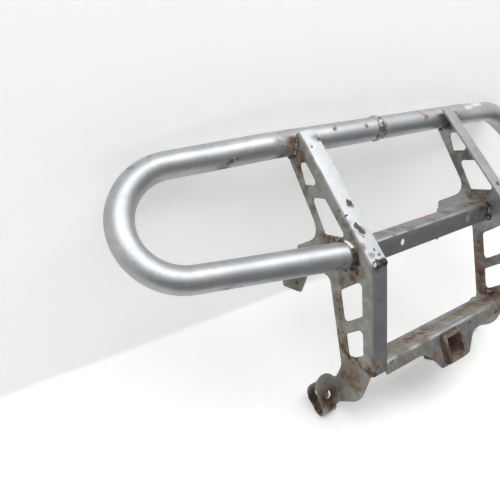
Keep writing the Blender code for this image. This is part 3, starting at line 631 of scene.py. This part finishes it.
bracketRust = [
    (-147, 14, 26, 5), (-147, 22, 26, 6), (-147, 30, 27, 5), (-147, -21, 17, 4), (-147, -23, 6, 7),
    (-147, -21, -4, 6), (-147, -14, -14, 7), (-147, -17, -22, 5), (-147, 13, -51, 3),
    (-147, 9, -63, 4), (-147, 6, -75, 3), (-147, 5, -92, 4), (-147, 6, -112, 6),
    (-147, -4, -122, 7), (-147, -16, -120, 5), (-139, -43, -120, 6), (-147, -37, -124, 6),
    (-147, -41, -127, 4), (-164, 18, -184, 24), (-164, 16, -194, 14), (-176, 38, -192, 18),
    (-147, 8, -158, 4), (-176, 30, -204, 12), (-172, 24, -211, 10),
    (-151, 85, -48, 4), (-147, -8, -72, 2.5), (-147, 62, 113, 6), (-147, 70, 105, 5),
    (144, 0, -132, 10), (147, 13, -51, 6), (147, 5, -100, 8), (147, -15, -130, 10),
    (160, 14, -195, 12), (176, 38, -190, 12), (141, 70, 122, 6), (-147, -30, -127, 4),
    (-147, 1, -98, 2.5), (-147, -13, -126, 4), (-147, -24, -128, 3),
]
bracketStain = [
    (-147, 66, 118, 14), (-147, 72, 108, 11), (-147, 62, 104, 8), (-147, -19, 12, 11),
    (-147, -20, -6, 15), (-147, -12, -18, 15), (-147, 0, -26, 12), (-147, 22, 26, 10),
    (-147, 32, 27, 9), (-147, -24, 26, 9), (-147, 70, 96, 8), (-147, 60, 78, 8),
    (-147, 48, 58, 8), (-147, 12, -52, 14), (-147, 8, -72, 13),
    (-147, 6, -92, 13), (-147, 3, -112, 16), (-147, -14, -126, 18), (-147, 0, -140, 20),
    (-147, -12, -152, 20), (-147, 6, -160, 16), (-139, -43, -116, 10), (-164, 17, -186, 15),
    (-163, 22, -200, 14), (-176, 38, -190, 24), (-176, 30, -208, 20), (-146, -43, -132, 10),
    (144, 0, -125, 30), (144, 5, -95, 18), (144, 10, -60, 16), (144, -12, -140, 30),
    (165, 20, -190, 32), (141, 68, 122, 12), (144, 10, 24, 14), (-151, 85, -42, 12),
    (144, 25, 22, 14), (144, 60, 20, 12),
]
bracketDirt = [
    (144, 50, 60, 60), (144, 10, -60, 60), (-163, 17, -186, 30), (-161, 16, -185, 16),
    (163, 17, -186, 30),
    (-147, -6, 50, 8), (-147, -14, 36, 10), (-154, -18, 12, 14), (-147, 10, -60, 16),
    (-147, 2, -110, 18), (-147, -8, -145, 28), (-165, 22, -186, 26), (-140, -43, -110, 16),
    (147, 10, -60, 16), (147, 2, -115, 22), (165, 22, -190, 30), (-147, 28, 22, 14),
    (-147, 68, 112, 16), (147, 20, 24, 22), (-138, -43, -2, 9), (-151, 80, -35, 16),
    (-135, -19, 38, 8), (-131, 2, 64, 6), (-140, -36, 17, 6), (-129, 60, 138, 9),
    (-172, 36, -200, 22), (141, 62, 122, 16), (144, 40, 80, 12),
]
bracketChips = [
    (-131, 3, 66, 4.6), (-132, 6, 69, 2.4), (-138.5, -14, 43, 5.2), (-136, -17, 40, 5.0),
    (-134, -18.5, 38, 4.0), (-137, -12, 47, 2.2), (-143, -3, 55, 2.6), (-141, -8, 49, 2.4),
    (-132, -34, 20, 2.2), (-135, -43, -36, 1.6), (-128, -43, -14, 1.6), (-124, 57, 135, 3.0),
    (-140, 52, 129, 2.0), (135, -15, 43, 4.0), (130, -43, -40, 2.4), (-147, 4, 62, 2.0),
    (-147, 8, 52, 1.8), (-137, -22, 34, 1.8), (-138, -40, 10, 2.2), (-129, -38, 16, 2.0),
    (-139, 2, 61, 2.0), (-133, -9, 53, 1.6),
]
# Near-black spots: soot by the tube's foot and the channel, and painted shade in the clevis holes
# and between its ears
bracketSootAndShade = [
    (-176, 34, -190, 12), (147, 30, -40, 9), (-147, -20, 8, 5), (-147, -22, -6, 4),
    (-147, -2, 29, 3), (-147, 6, 30, 3), (-147, 0, -119, 5), (-147, -6, -122, 4),
    (-144, -43, -128, 6), (-147, -36, -128, 5), (-163, 17, -200, 8), (-164, 18, -184, 13),
]
# Near-white spots beside the top of the tube's foot: bright spatter with a painted highlight
bracketBright = [(-147, -13, 26, 3.5), (-147, -16, 23, 3.0)]
bracketMaterial = paintedSteel(
    "bracketPaint", bracketRust, bracketStain, bracketDirt, bracketChips, bracketSootAndShade,
    bracketBright, tone=0.86, plateFilm=0.65, rough=0.10, speckle=0.08, edgeWear=0.45,
)
addSheetCopy("side_bracket_left", "bracket_skin_left", bracketMaterial)
addSheetCopy("side_bracket_right", "bracket_skin_right", bracketMaterial)

strapRust = [
    (128, 2, 6, 9), (142, 2, 0, 10), (-142, 2, 0, 6), (-42, 15, 13, 4.5), (-27, 12, 13, 3),
    (-69, 15, 13, 3), (104, 10, 13, 4), (120, 14, 13, 6),
]
strapStain = [
    (-30, 12, 13, 9), (-44, 14, 13, 11), (-69, 14, 13, 12), (62, 12, 13, 10), (98, 10, 13, 16),
    (132, 8, 8, 22), (-110, 12, 13, 14), (-140, 4, 4, 10),
]
strapDirt = [
    (-27, 3, 13, 12), (17, 6, 13, 12), (62, 15, 13, 16), (100, 12, 13, 16), (-100, 12, 13, 16),
    (-43, 0, -2, 7), (93, 0, -2, 7), (120, 0, 2, 14), (-60, 0, 10, 6), (30, 0, 10, 8),
]
# Near-black spots at the strap's right end: painted shade in the gap at the plate
strapEndPaintedShade = [(142, 0, -5, 9), (143, 1, 8, 5)]
strapMarks = [(25, 16, 13, 3.2), (27, 12, 13, 2.8), (24, 20, 13, 2.6)]
strapMaterial = paintedSteel(
    "strapPaint", strapRust, strapStain, strapDirt, dark=strapEndPaintedShade, marks=strapMarks,
    tone=0.74, rough=0.07, speckle=0.2, edgeWear=0.35,
)
addSheetCopy("cross_strap", "strap_skin", strapMaterial)

channelRust = [
    (-52, -15, -130, 9), (-40, -17, -129, 8), (-30, -19, -129, 10), (-20, -17, -129, 6),
    (-62, -22, -128, 6), (-5, -20, -128, 5), (-95, -12, -131, 5), (72, -27, -126, 4),
    (88, -45, -142, 10), (104, -42, -138, 11), (115, -22, -128, 12), (134, -18, -129, 14),
    (120, -45, -138, 16), (37, -45, -139, 4), (-30, -48, -155, 5), (-111, -40, -127, 4),
    (58, -18, -129, 5), (-120, -30, -127, 5), (-26, -50, -164, 6), (45, -41, -130, 5),
]
channelStain = [
    (-120, -18, -128, 26), (-85, -18, -129, 28), (-45, -20, -129, 30), (-5, -20, -128, 26),
    (25, -18, -128, 20), (60, -20, -128, 26), (95, -22, -127, 32), (130, -26, -128, 36),
    (75, -44, -136, 16), (104, -44, -138, 32), (135, -40, -136, 34), (-33, -48, -148, 14),
    (-112, -42, -130, 11), (-128, -42, -136, 14), (-71, -42, -130, 7), (30, -46, -135, 7),
]
channelDirt = [
    (-100, -14, -130, 20), (-60, -12, -130, 22), (-10, -12, -130, 22), (50, -14, -129, 24),
    (100, -20, -127, 30), (-97, -41, -127, 12), (80, -44, -138, 26), (120, -44, -136, 34),
    (-36, -48, -150, 16), (-60, -44, -138, 8), (-20, -50, -160, 16), (20, -50, -160, 14),
    (-90, -42, -132, 18), (-50, -42, -134, 16), (60, -44, -136, 18),
]
channelMaterial = paintedSteel(
    "channelPaint", channelRust, channelStain, channelDirt,
    tone=0.78, rough=0.08, speckle=0.3, edgeWear=0.6,
)
addSheetCopy("lower_channel", "channel_skin", channelMaterial)

receiverRust = [
    (0, -20, -150, 60), (0, -34, -158, 30), (-18, -52, -158, 14), (-17, -50, -146, 12),
    (10, -52, -168, 14), (16, -50, -150, 10), (-4, -46, -134, 6),
]
receiverStain = [(0, -25, -150, 50), (-18, -48, -150, 34), (8, -50, -165, 28)]
receiverDirt = [(0, -30, -155, 46)]
# Near-black spots down the receiver's bore: painted shade inside the tube
receiverBorePaintedShade = [(0, 0, -146, 34), (0, -14, -150, 30), (0, -26, -153, 20)]
# Near-white spots on the top of the receiver's rim: a painted highlight
receiverRimPaintedHighlight = [(-3, -57, -131, 5), (-12, -56, -132, 4), (-17, -57, -141, 2.5)]
receiverMaterial = paintedSteel(
    "receiverPaint", receiverRust, receiverStain, receiverDirt, dark=receiverBorePaintedShade,
    bright=receiverRimPaintedHighlight, tone=0.75, rough=0.15, speckle=0.3, edgeWear=0.3,
)
addSheetCopy("receiver_tube", "receiver_skin", receiverMaterial)
print("sheet pieces done")

# Weld beads

bead = {
    "around": 20,
    "step": 0.0004,
    "ripple": 0.0026,
    "fewest": 24,
    "base": 0.86,
    "swell": 0.20,
    "sharpness": 0.7,
    "roughWaves": (8, 1.0, 3.5),
    "roughTurn": 2.0,
    "openTurn": 900.0,
    "endRun": 1.2,
}


def beadMesh(name, path, radius, seed, closed=False, low=1.0, up=(0.0, 0.0, 1.0), lumps=0.11):
    # Point = path + r (low across cos a + over sin a), where r swells in a scallop per ripple,
    # wanders with noise, and falls to nothing at open ends as the square root of the distance
    path = np.asarray(path, float)
    if closed:
        path = np.concatenate([path, path[:1]])
    length = np.cumsum(np.r_[0, np.linalg.norm(np.diff(path, axis=0), axis=1)])
    whole = length[-1]
    count = max(bead["fewest"], int(whole / bead["step"]))
    s = np.linspace(0, whole, count, endpoint=not closed)
    line = np.stack([np.interp(s, length, path[:, k]) for k in range(3)], -1)
    if closed:
        ahead = unit(np.roll(line, -2, 0) - np.roll(line, 2, 0))
    else:
        ahead = unit(np.gradient(line, axis=0))
    across = unit(np.cross(ahead, np.broadcast_to(up, ahead.shape)))
    over = np.cross(across, ahead)
    ripples = max(1, round(whole / bead["ripple"]))
    scallop = np.abs(np.sin(s / whole * ripples * math.pi))[:, None] ** bead["sharpness"]
    angle = np.linspace(0, math.tau, bead["around"], endpoint=False)[None, :]
    turn = s[:, None] * (math.tau / whole if closed else bead["openTurn"])
    wide = bead["roughTurn"]
    circle = (np.cos(turn) * wide, np.sin(turn) * wide, np.cos(angle), np.sin(angle))
    rough = waves(seed, *bead["roughWaves"], *circle)
    reach = radius * (bead["base"] + bead["swell"] * scallop + lumps * rough)
    if not closed:
        end = np.minimum(s, whole - s)[:, None] / (radius * bead["endRun"])
        reach = reach * np.sqrt(np.clip(end * (2 - end), 0, 1) * (end < 1) + (end >= 1))
    cosine, sine = np.cos(angle)[..., None], np.sin(angle)[..., None]
    spoke = low * across[:, None] * cosine + over[:, None] * sine
    grid = line[:, None] + reach[..., None] * spoke
    return tidyMesh(newMesh(name, grid, gridFaces(count, bead["around"], closeRows=closed)))


def mirrored(points, side):
    points = np.array(points, float)
    points[..., 0] *= side
    return points


def arcYZ(x, centre, reach, start, end, count=40):
    t = np.linspace(start, end, count)
    y, z = centre[0] + reach * np.cos(t), centre[1] + reach * np.sin(t)
    return np.stack([np.full(count, x), y, z], -1)


# Bright spots of the beads, splashed metal with a painted highlight, and sooty spots: (x, y, z,
# radius) in millimetres
endBright = [(-148, -15, 27, 6), (-148, -9, 29, 4), (148, -17, 26, 6)]
endDark = [(-149, -24, 16, 5), (-149, -25, 8, 6), (-148, -19, -3, 6), (149, -24, 8, 7)]
kneeBright = [(-146, -45, 9, 4), (146, -45, 9, 3)]
kneeDark = [(-137, -46, 11, 3.5), (-141, -44, 5, 3), (-128, -45, 10, 4), (137, -46, 10, 5)]
beadMaterial = weldMetal("weldScale", paint=0.55, bright=endBright, dark=endDark)
seamMaterial = weldMetal("seamScale", scale=1.0, paint=0.62, brown=0.62)
saddleMaterial = weldMetal("saddleScale", scale=1.0, paint=0.25, brown=0.80)
kneeMaterial = weldMetal(
    "kneeScale", scale=0.4, paint=0.30, brown=0.45, bright=kneeBright, dark=kneeDark
)
receiverBeadMaterial = weldMetal("receiverScale", paint=0.25, brown=0.9)

bracket = {"span": 0.147, "sheet": 0.0025}
seam = {"radius": 0.0042, "low": 0.28, "lumps": 0.15, "rise": 0.0002, "seed": 21, "points": 80}
saddle = {
    "radius": 0.0026,
    "rise": 0.0008,
    "beside": 0.0010,
    "from": math.radians(152),
    "to": math.radians(273),
    "seed": 31,
}
hoopEnd = {"radius": 0.0027, "rise": 0.0006, "beside": 0.0012, "seed": 41, "points": 72}
knee = {
    "radius": 0.0036,
    "lumps": 0.21,
    "up": (0.0, -1.0, 0.3),
    "seed": 55,
    "path": [(0.1452, -0.0438, 0.0080), (0.1385, -0.0442, 0.0077), (0.1248, -0.0440, 0.0080)],
}
strapEnd = {"radius": 0.0026, "beside": 0.0010, "y": -0.0010, "z": (-0.0150, 0.0092), "seed": 61}
channelEnd = {
    "radius": 0.0028,
    "beside": 0.0012,
    "from": (-0.0280, -0.1318),
    "to": (-0.0040, -0.1236),
    "seed": 71,
}
tubeAxis = hoop["centre"]
alongX = (1.0, 0.0, 0.0)


def addSeamBead():
    last = math.tau * (seam["points"] - 1) / seam["points"]
    ring = arcYZ(0.0, tubeAxis, hoop["radius"] + seam["rise"], 0, last, seam["points"])
    mesh = beadMesh(
        "seam_bead", ring, seam["radius"], seam["seed"],
        closed=True, low=seam["low"], up=alongX, lumps=seam["lumps"],
    )
    addPiece("seam_bead", mesh, seamMaterial, ["seam_weld"])


def addSaddleBeads(side):
    outside = bracket["span"] + saddle["beside"]
    inside = bracket["span"] - bracket["sheet"] - saddle["beside"]
    reach = hoop["radius"] + saddle["rise"]
    for face, x in (("outer", outside), ("inner", inside)):
        name = "saddle_bead_" + face + sideName[side]
        arc = arcYZ(side * x, tubeAxis, reach, saddle["from"], saddle["to"])
        mesh = beadMesh(name, arc, saddle["radius"], saddle["seed"] + side, up=alongX)
        node = "saddle_weld_" + face + sideName[side]
        addPiece(name, mesh, saddleMaterial, [node])


def addHoopEndBead(side):
    # The tube meets the plate at a slant, so the ring is an ellipse, wider by 1 / cos
    line, heading = hoopPath()[:2]
    footY, footZ = line[-1][1:]
    t = np.linspace(0, math.tau, hoopEnd["points"], endpoint=False)
    reach = hoop["radius"] + hoopEnd["rise"]
    x = np.full(len(t), side * (bracket["span"] + hoopEnd["beside"]))
    y = footY + reach * np.cos(t) / abs(heading[0])
    ring = np.stack([x, y, footZ + reach * np.sin(t)], -1)
    name = "hoop_end_bead" + sideName[side]
    seed = hoopEnd["seed"] + side
    mesh = beadMesh(name, ring, hoopEnd["radius"], seed, closed=True, up=alongX)
    addPiece(name, mesh, beadMaterial, ["hoop_end_weld" + sideName[side]])


def addKneeBead(side):
    path = mirrored(knee["path"], side)
    name = "knee_bead" + sideName[side]
    seed = knee["seed"] + side
    mesh = beadMesh(name, path, knee["radius"], seed, lumps=knee["lumps"], up=knee["up"])
    addPiece(name, mesh, kneeMaterial, ["knee_weld" + sideName[side]])


def addStrapBead(side):
    x = bracket["span"] - bracket["sheet"] - strapEnd["beside"]
    path = mirrored([(x, strapEnd["y"], z) for z in strapEnd["z"]], side)
    name = "strap_bead" + sideName[side]
    mesh = beadMesh(name, path, strapEnd["radius"], strapEnd["seed"] + side, up=(0.0, -1.0, 0.0))
    addPiece(name, mesh, beadMaterial, ["strap_weld" + sideName[side]])


def addChannelBead(side):
    x = bracket["span"] - bracket["sheet"] - channelEnd["beside"]
    path = mirrored([(x, *channelEnd["from"]), (x, *channelEnd["to"])], side)
    name = "channel_bead" + sideName[side]
    mesh = beadMesh(name, path, channelEnd["radius"], channelEnd["seed"] + side)
    addPiece(name, mesh, beadMaterial, ["channel_weld" + sideName[side]])


addSeamBead()
for side in (-1, 1):
    addSaddleBeads(side)
    addHoopEndBead(side)
    addKneeBead(side)
    addStrapBead(side)
    addChannelBead(side)

spatter = {
    "count": 26,
    "away": (0.012, 0.030),
    "size": (0.0004, 0.0010),
    "squat": 0.6,
    "around": 10,
    "rings": 5,
    "tubeTurn": (math.radians(120), math.radians(250)),
    "plateTurn": (math.pi * 1.05, math.pi * 1.75),
    "plateMiddle": (-0.0047, 0.0108),
    "plateShare": 0.8,
    "plateFront": -0.036,
    "sunk": 0.0001,
    "aside": (0.3, 0.5, 0.8),
    "seed": 7,
}


def addSpatter():
    # Each drop is a squat half ball: point = foot + size (side sin b cos a + side' sin b sin a +
    # squat out cos b), scattered over the tube beside its saddle welds and on the plate by its foot
    rng = np.random.default_rng(spatter["seed"])
    a = np.linspace(0, math.tau, spatter["around"], endpoint=False)[None, :]
    b = np.linspace(0, math.pi, spatter["rings"] * 2)[:, None]
    points, faces, start = [], [], 0
    for index in range(spatter["count"]):
        side = (-1, 1)[index % 2]
        away = rng.uniform(*spatter["away"])
        if index % 4 < 2:
            turn = rng.uniform(*spatter["tubeTurn"])
            out = np.array((0.0, math.cos(turn), math.sin(turn)))
            foot = np.array((side * (bracket["span"] + away), *tubeAxis))
            foot = foot + out * (hoop["radius"] - spatter["sunk"])
        else:
            turn = rng.uniform(*spatter["plateTurn"])
            out = np.array((side, 0.0, 0.0))
            reach = hoop["radius"] + away * spatter["plateShare"]
            y, z = spatter["plateMiddle"]
            y, z = y + reach * math.cos(turn), z + reach * math.sin(turn)
            foot = np.array((side * bracket["span"], y, z))
            if y < spatter["plateFront"]:
                continue
        first = unit(np.cross(out, spatter["aside"]))
        second = np.cross(out, first)
        size = rng.uniform(*spatter["size"])
        flat = (np.sin(b) * np.cos(a))[..., None] * first
        flat = flat + (np.sin(b) * np.sin(a))[..., None] * second
        rise = spatter["squat"] * (np.cos(b) * np.ones_like(a))[..., None] * out
        drop = foot + size * (flat + rise)
        points.append(drop.reshape(-1, 3))
        faces.append(gridFaces(*drop.shape[:2]) + start)
        start += len(points[-1])
    mesh = tidyMesh(newMesh("spatter", np.concatenate(points), np.concatenate(faces)), merge=1e-7)
    addPiece("spatter", mesh, kneeMaterial, None)


addSpatter()

# The receiver leans with the channel's front face, below that face's fold
receiverSeat = {
    "tilt": math.radians(18.3),
    "fold": (-0.0389, -0.12195),
    "drop": 0.0252,
    "side": 0.0381,
    "clear": 0.0006,
    "proud": 0.0008,
    "squareness": 0.22,
    "points": 120,
    "radius": 0.0020,
    "seed": 81,
}


def addReceiverBead():
    # A rounded square: u = half sign(cos t) |cos t|^squareness, v the same with sin t
    tilt = receiverSeat["tilt"]
    down = np.array((0.0, -math.sin(tilt), -math.cos(tilt)))
    forward = np.array((0.0, -math.cos(tilt), math.sin(tilt)))
    middle = np.array((0.0, *receiverSeat["fold"])) + down * receiverSeat["drop"]
    middle = middle + forward * receiverSeat["proud"]
    t = np.linspace(0, math.tau, receiverSeat["points"], endpoint=False)
    cosine, sine = np.cos(t), np.sin(t)
    half = receiverSeat["side"] / 2 + receiverSeat["clear"]
    u = half * np.sign(cosine) * np.abs(cosine) ** receiverSeat["squareness"]
    v = half * np.sign(sine) * np.abs(sine) ** receiverSeat["squareness"]
    ring = middle + u[:, None] * np.array(alongX) - v[:, None] * down
    radius, seed = receiverSeat["radius"], receiverSeat["seed"]
    mesh = beadMesh("receiver_bead", ring, radius, seed, closed=True, up=tuple(forward))
    addPiece("receiver_bead", mesh, receiverBeadMaterial, ["receiver_weld"])


addReceiverBead()
print("beads done")

# Stage: a pale floor and the wall that the bumper leans on, both seen from one side only

stageLook = {
    "lean": math.radians(21.1),
    "floorHeight": -0.2087,
    "wall": 0.1655,
    "corner": 0.006,
    "cornerPoints": 9,
    "front": -2.6,
    "top": 2.6,
    "halfWidth": 4.0,
    "columns": 9,
    "color": (0.97, 0.97, 0.965),
    "glow": 0.23,
    "roughness": 0.9,
}
upward = np.array((0.0, -math.sin(stageLook["lean"]), math.cos(stageLook["lean"])))
backward = np.array((0.0, math.cos(stageLook["lean"]), math.sin(stageLook["lean"])))


def stageSheet(name, back, height, halfWidth, columns, material):
    # Point = back * backward + height * upward + x, drawn across the whole width
    x = np.linspace(-halfWidth, halfWidth, columns)
    line = back[:, None] * backward + height[:, None] * upward
    grid = line[:, None] + x[None, :, None] * np.array(alongX)
    mesh = newMesh(name, grid, gridFaces(*grid.shape[:2], closeColumns=False))
    mesh.materials.append(material)
    sheet = bpy.data.objects.new(name, mesh)
    bpy.context.scene.collection.objects.link(sheet)
    return sheet


def stageMaterial():
    # The cover glows evenly in front of the camera, and its back is clear
    graph = materialGraph("stageCover")
    glow = graph.mix(graph.seenRays(), (0.0, 0.0, 0.0), (stageLook["glow"],) * 3)
    sockets = {"Base Color": stageLook["color"], "Roughness": stageLook["roughness"]}
    sockets.update({"Specular IOR Level": 0.0, "Emission Color": glow, "Emission Strength": 1.0})
    cover = graph.node("BsdfPrincipled", {}, sockets)
    clear = graph.node("BsdfTransparent")
    behind = graph.node("NewGeometry", output="Backfacing")
    return graph.show(graph.node("MixShader", {}, {0: behind, 1: cover, 2: clear}))


def addStage():
    # The floor, a small quarter round, then the wall
    corner, wall, floor = stageLook["corner"], stageLook["wall"], stageLook["floorHeight"]
    t = np.linspace(0, math.pi / 2, stageLook["cornerPoints"])
    back = np.r_[stageLook["front"], wall - corner + corner * np.sin(t), wall]
    height = np.r_[floor, floor + corner - corner * np.cos(t), stageLook["top"]]
    width, columns = stageLook["halfWidth"], stageLook["columns"]
    stage = stageSheet("stage", back, height, width, columns, stageMaterial())
    stage.data.shade_smooth()


addStage()

cardLook = {
    "near": -0.15,
    "far": -1.1,
    "lean": 0.1,
    "above": 0.002,
    "rise": 0.95,
    "halfWidth": 2.0,
    "columns": 3,
    "color": (0.15, 0.155, 0.16),
}


def addCard():
    # A grey card before the bumper that only reflections see: it lies on the floor, then stands
    back = np.array((cardLook["near"], cardLook["far"], cardLook["far"] - cardLook["lean"]))
    floor = stageLook["floorHeight"] + cardLook["above"]
    height = np.array((floor, floor, cardLook["rise"]))
    graph = materialGraph("cardCover")
    cover = graph.show(graph.node("BsdfDiffuse", {}, {"Color": cardLook["color"]}))
    card = stageSheet("card", back, height, cardLook["halfWidth"], cardLook["columns"], cover)
    card.visible_camera = False
    card.visible_diffuse = False
    card.visible_shadow = False


addCard()

# Light: one wide soft panel overhead, and the white room

lampLook = {
    "tilt": math.radians(8.0),
    "away": 1.25,
    "size": (2.3, 0.95),
    "power": 20.5,
    "aim": (-0.05, 0.03, 0.0),
}
worldLook = {"ambient": 0.22, "seen": 1.0, "color": (1.0, 1.0, 1.0)}


def addLamp():
    data = bpy.data.lights.new("topLamp", "AREA")
    data.shape = "RECTANGLE"
    data.size, data.size_y = lampLook["size"]
    data.energy = lampLook["power"]
    lamp = bpy.data.objects.new("topLamp", data)
    bpy.context.scene.collection.objects.link(lamp)
    tilt = lampLook["tilt"]
    toward = Vector(math.cos(tilt) * upward - math.sin(tilt) * backward).normalized()
    lamp.location = Vector(lampLook["aim"]) + toward * lampLook["away"]
    lamp.rotation_mode = "QUATERNION"
    lamp.rotation_quaternion = toward.to_track_quat("Z", "Y")


def addWorld():
    # Plain light on surfaces, and white where the camera or a reflection looks past the stage
    world = bpy.data.worlds.new("studio")
    bpy.context.scene.world = world
    graph = Graph(world, "OutputWorld")
    sockets = {0: graph.seenRays(), 3: worldLook["ambient"], 4: worldLook["seen"]}
    level = graph.node("MapRange", {}, sockets)
    sockets = {"Color": worldLook["color"], "Strength": level}
    graph.show(graph.node("Background", {}, sockets))


addLamp()
addWorld()
print("stage and light done")

# Camera, at the photograph's viewing angle

cameraLook = {
    "place": (-0.4764, -0.3486, 0.18455),
    "ahead": (0.4852, 0.8147, -0.3175),
    "right": (0.8374, -0.5375, -0.0997),
    "lens": 31.53,
    "sensor": 36.0,
    "nearest": 0.01,
}


def addCamera():
    ahead = Vector(cameraLook["ahead"]).normalized()
    right = Vector(cameraLook["right"])
    right = (right - ahead * right.dot(ahead)).normalized()
    over = right.cross(ahead)
    data = bpy.data.cameras.new("camera")
    data.lens = cameraLook["lens"]
    data.sensor_width = cameraLook["sensor"]
    data.clip_start = cameraLook["nearest"]
    camera = bpy.data.objects.new("camera", data)
    bpy.context.scene.collection.objects.link(camera)
    turned = Matrix((right, over, -ahead)).transposed().to_4x4()
    camera.matrix_world = Matrix.Translation(cameraLook["place"]) @ turned
    bpy.context.scene.camera = camera


addCamera()
bpy.context.scene.view_settings.view_transform = "Standard"
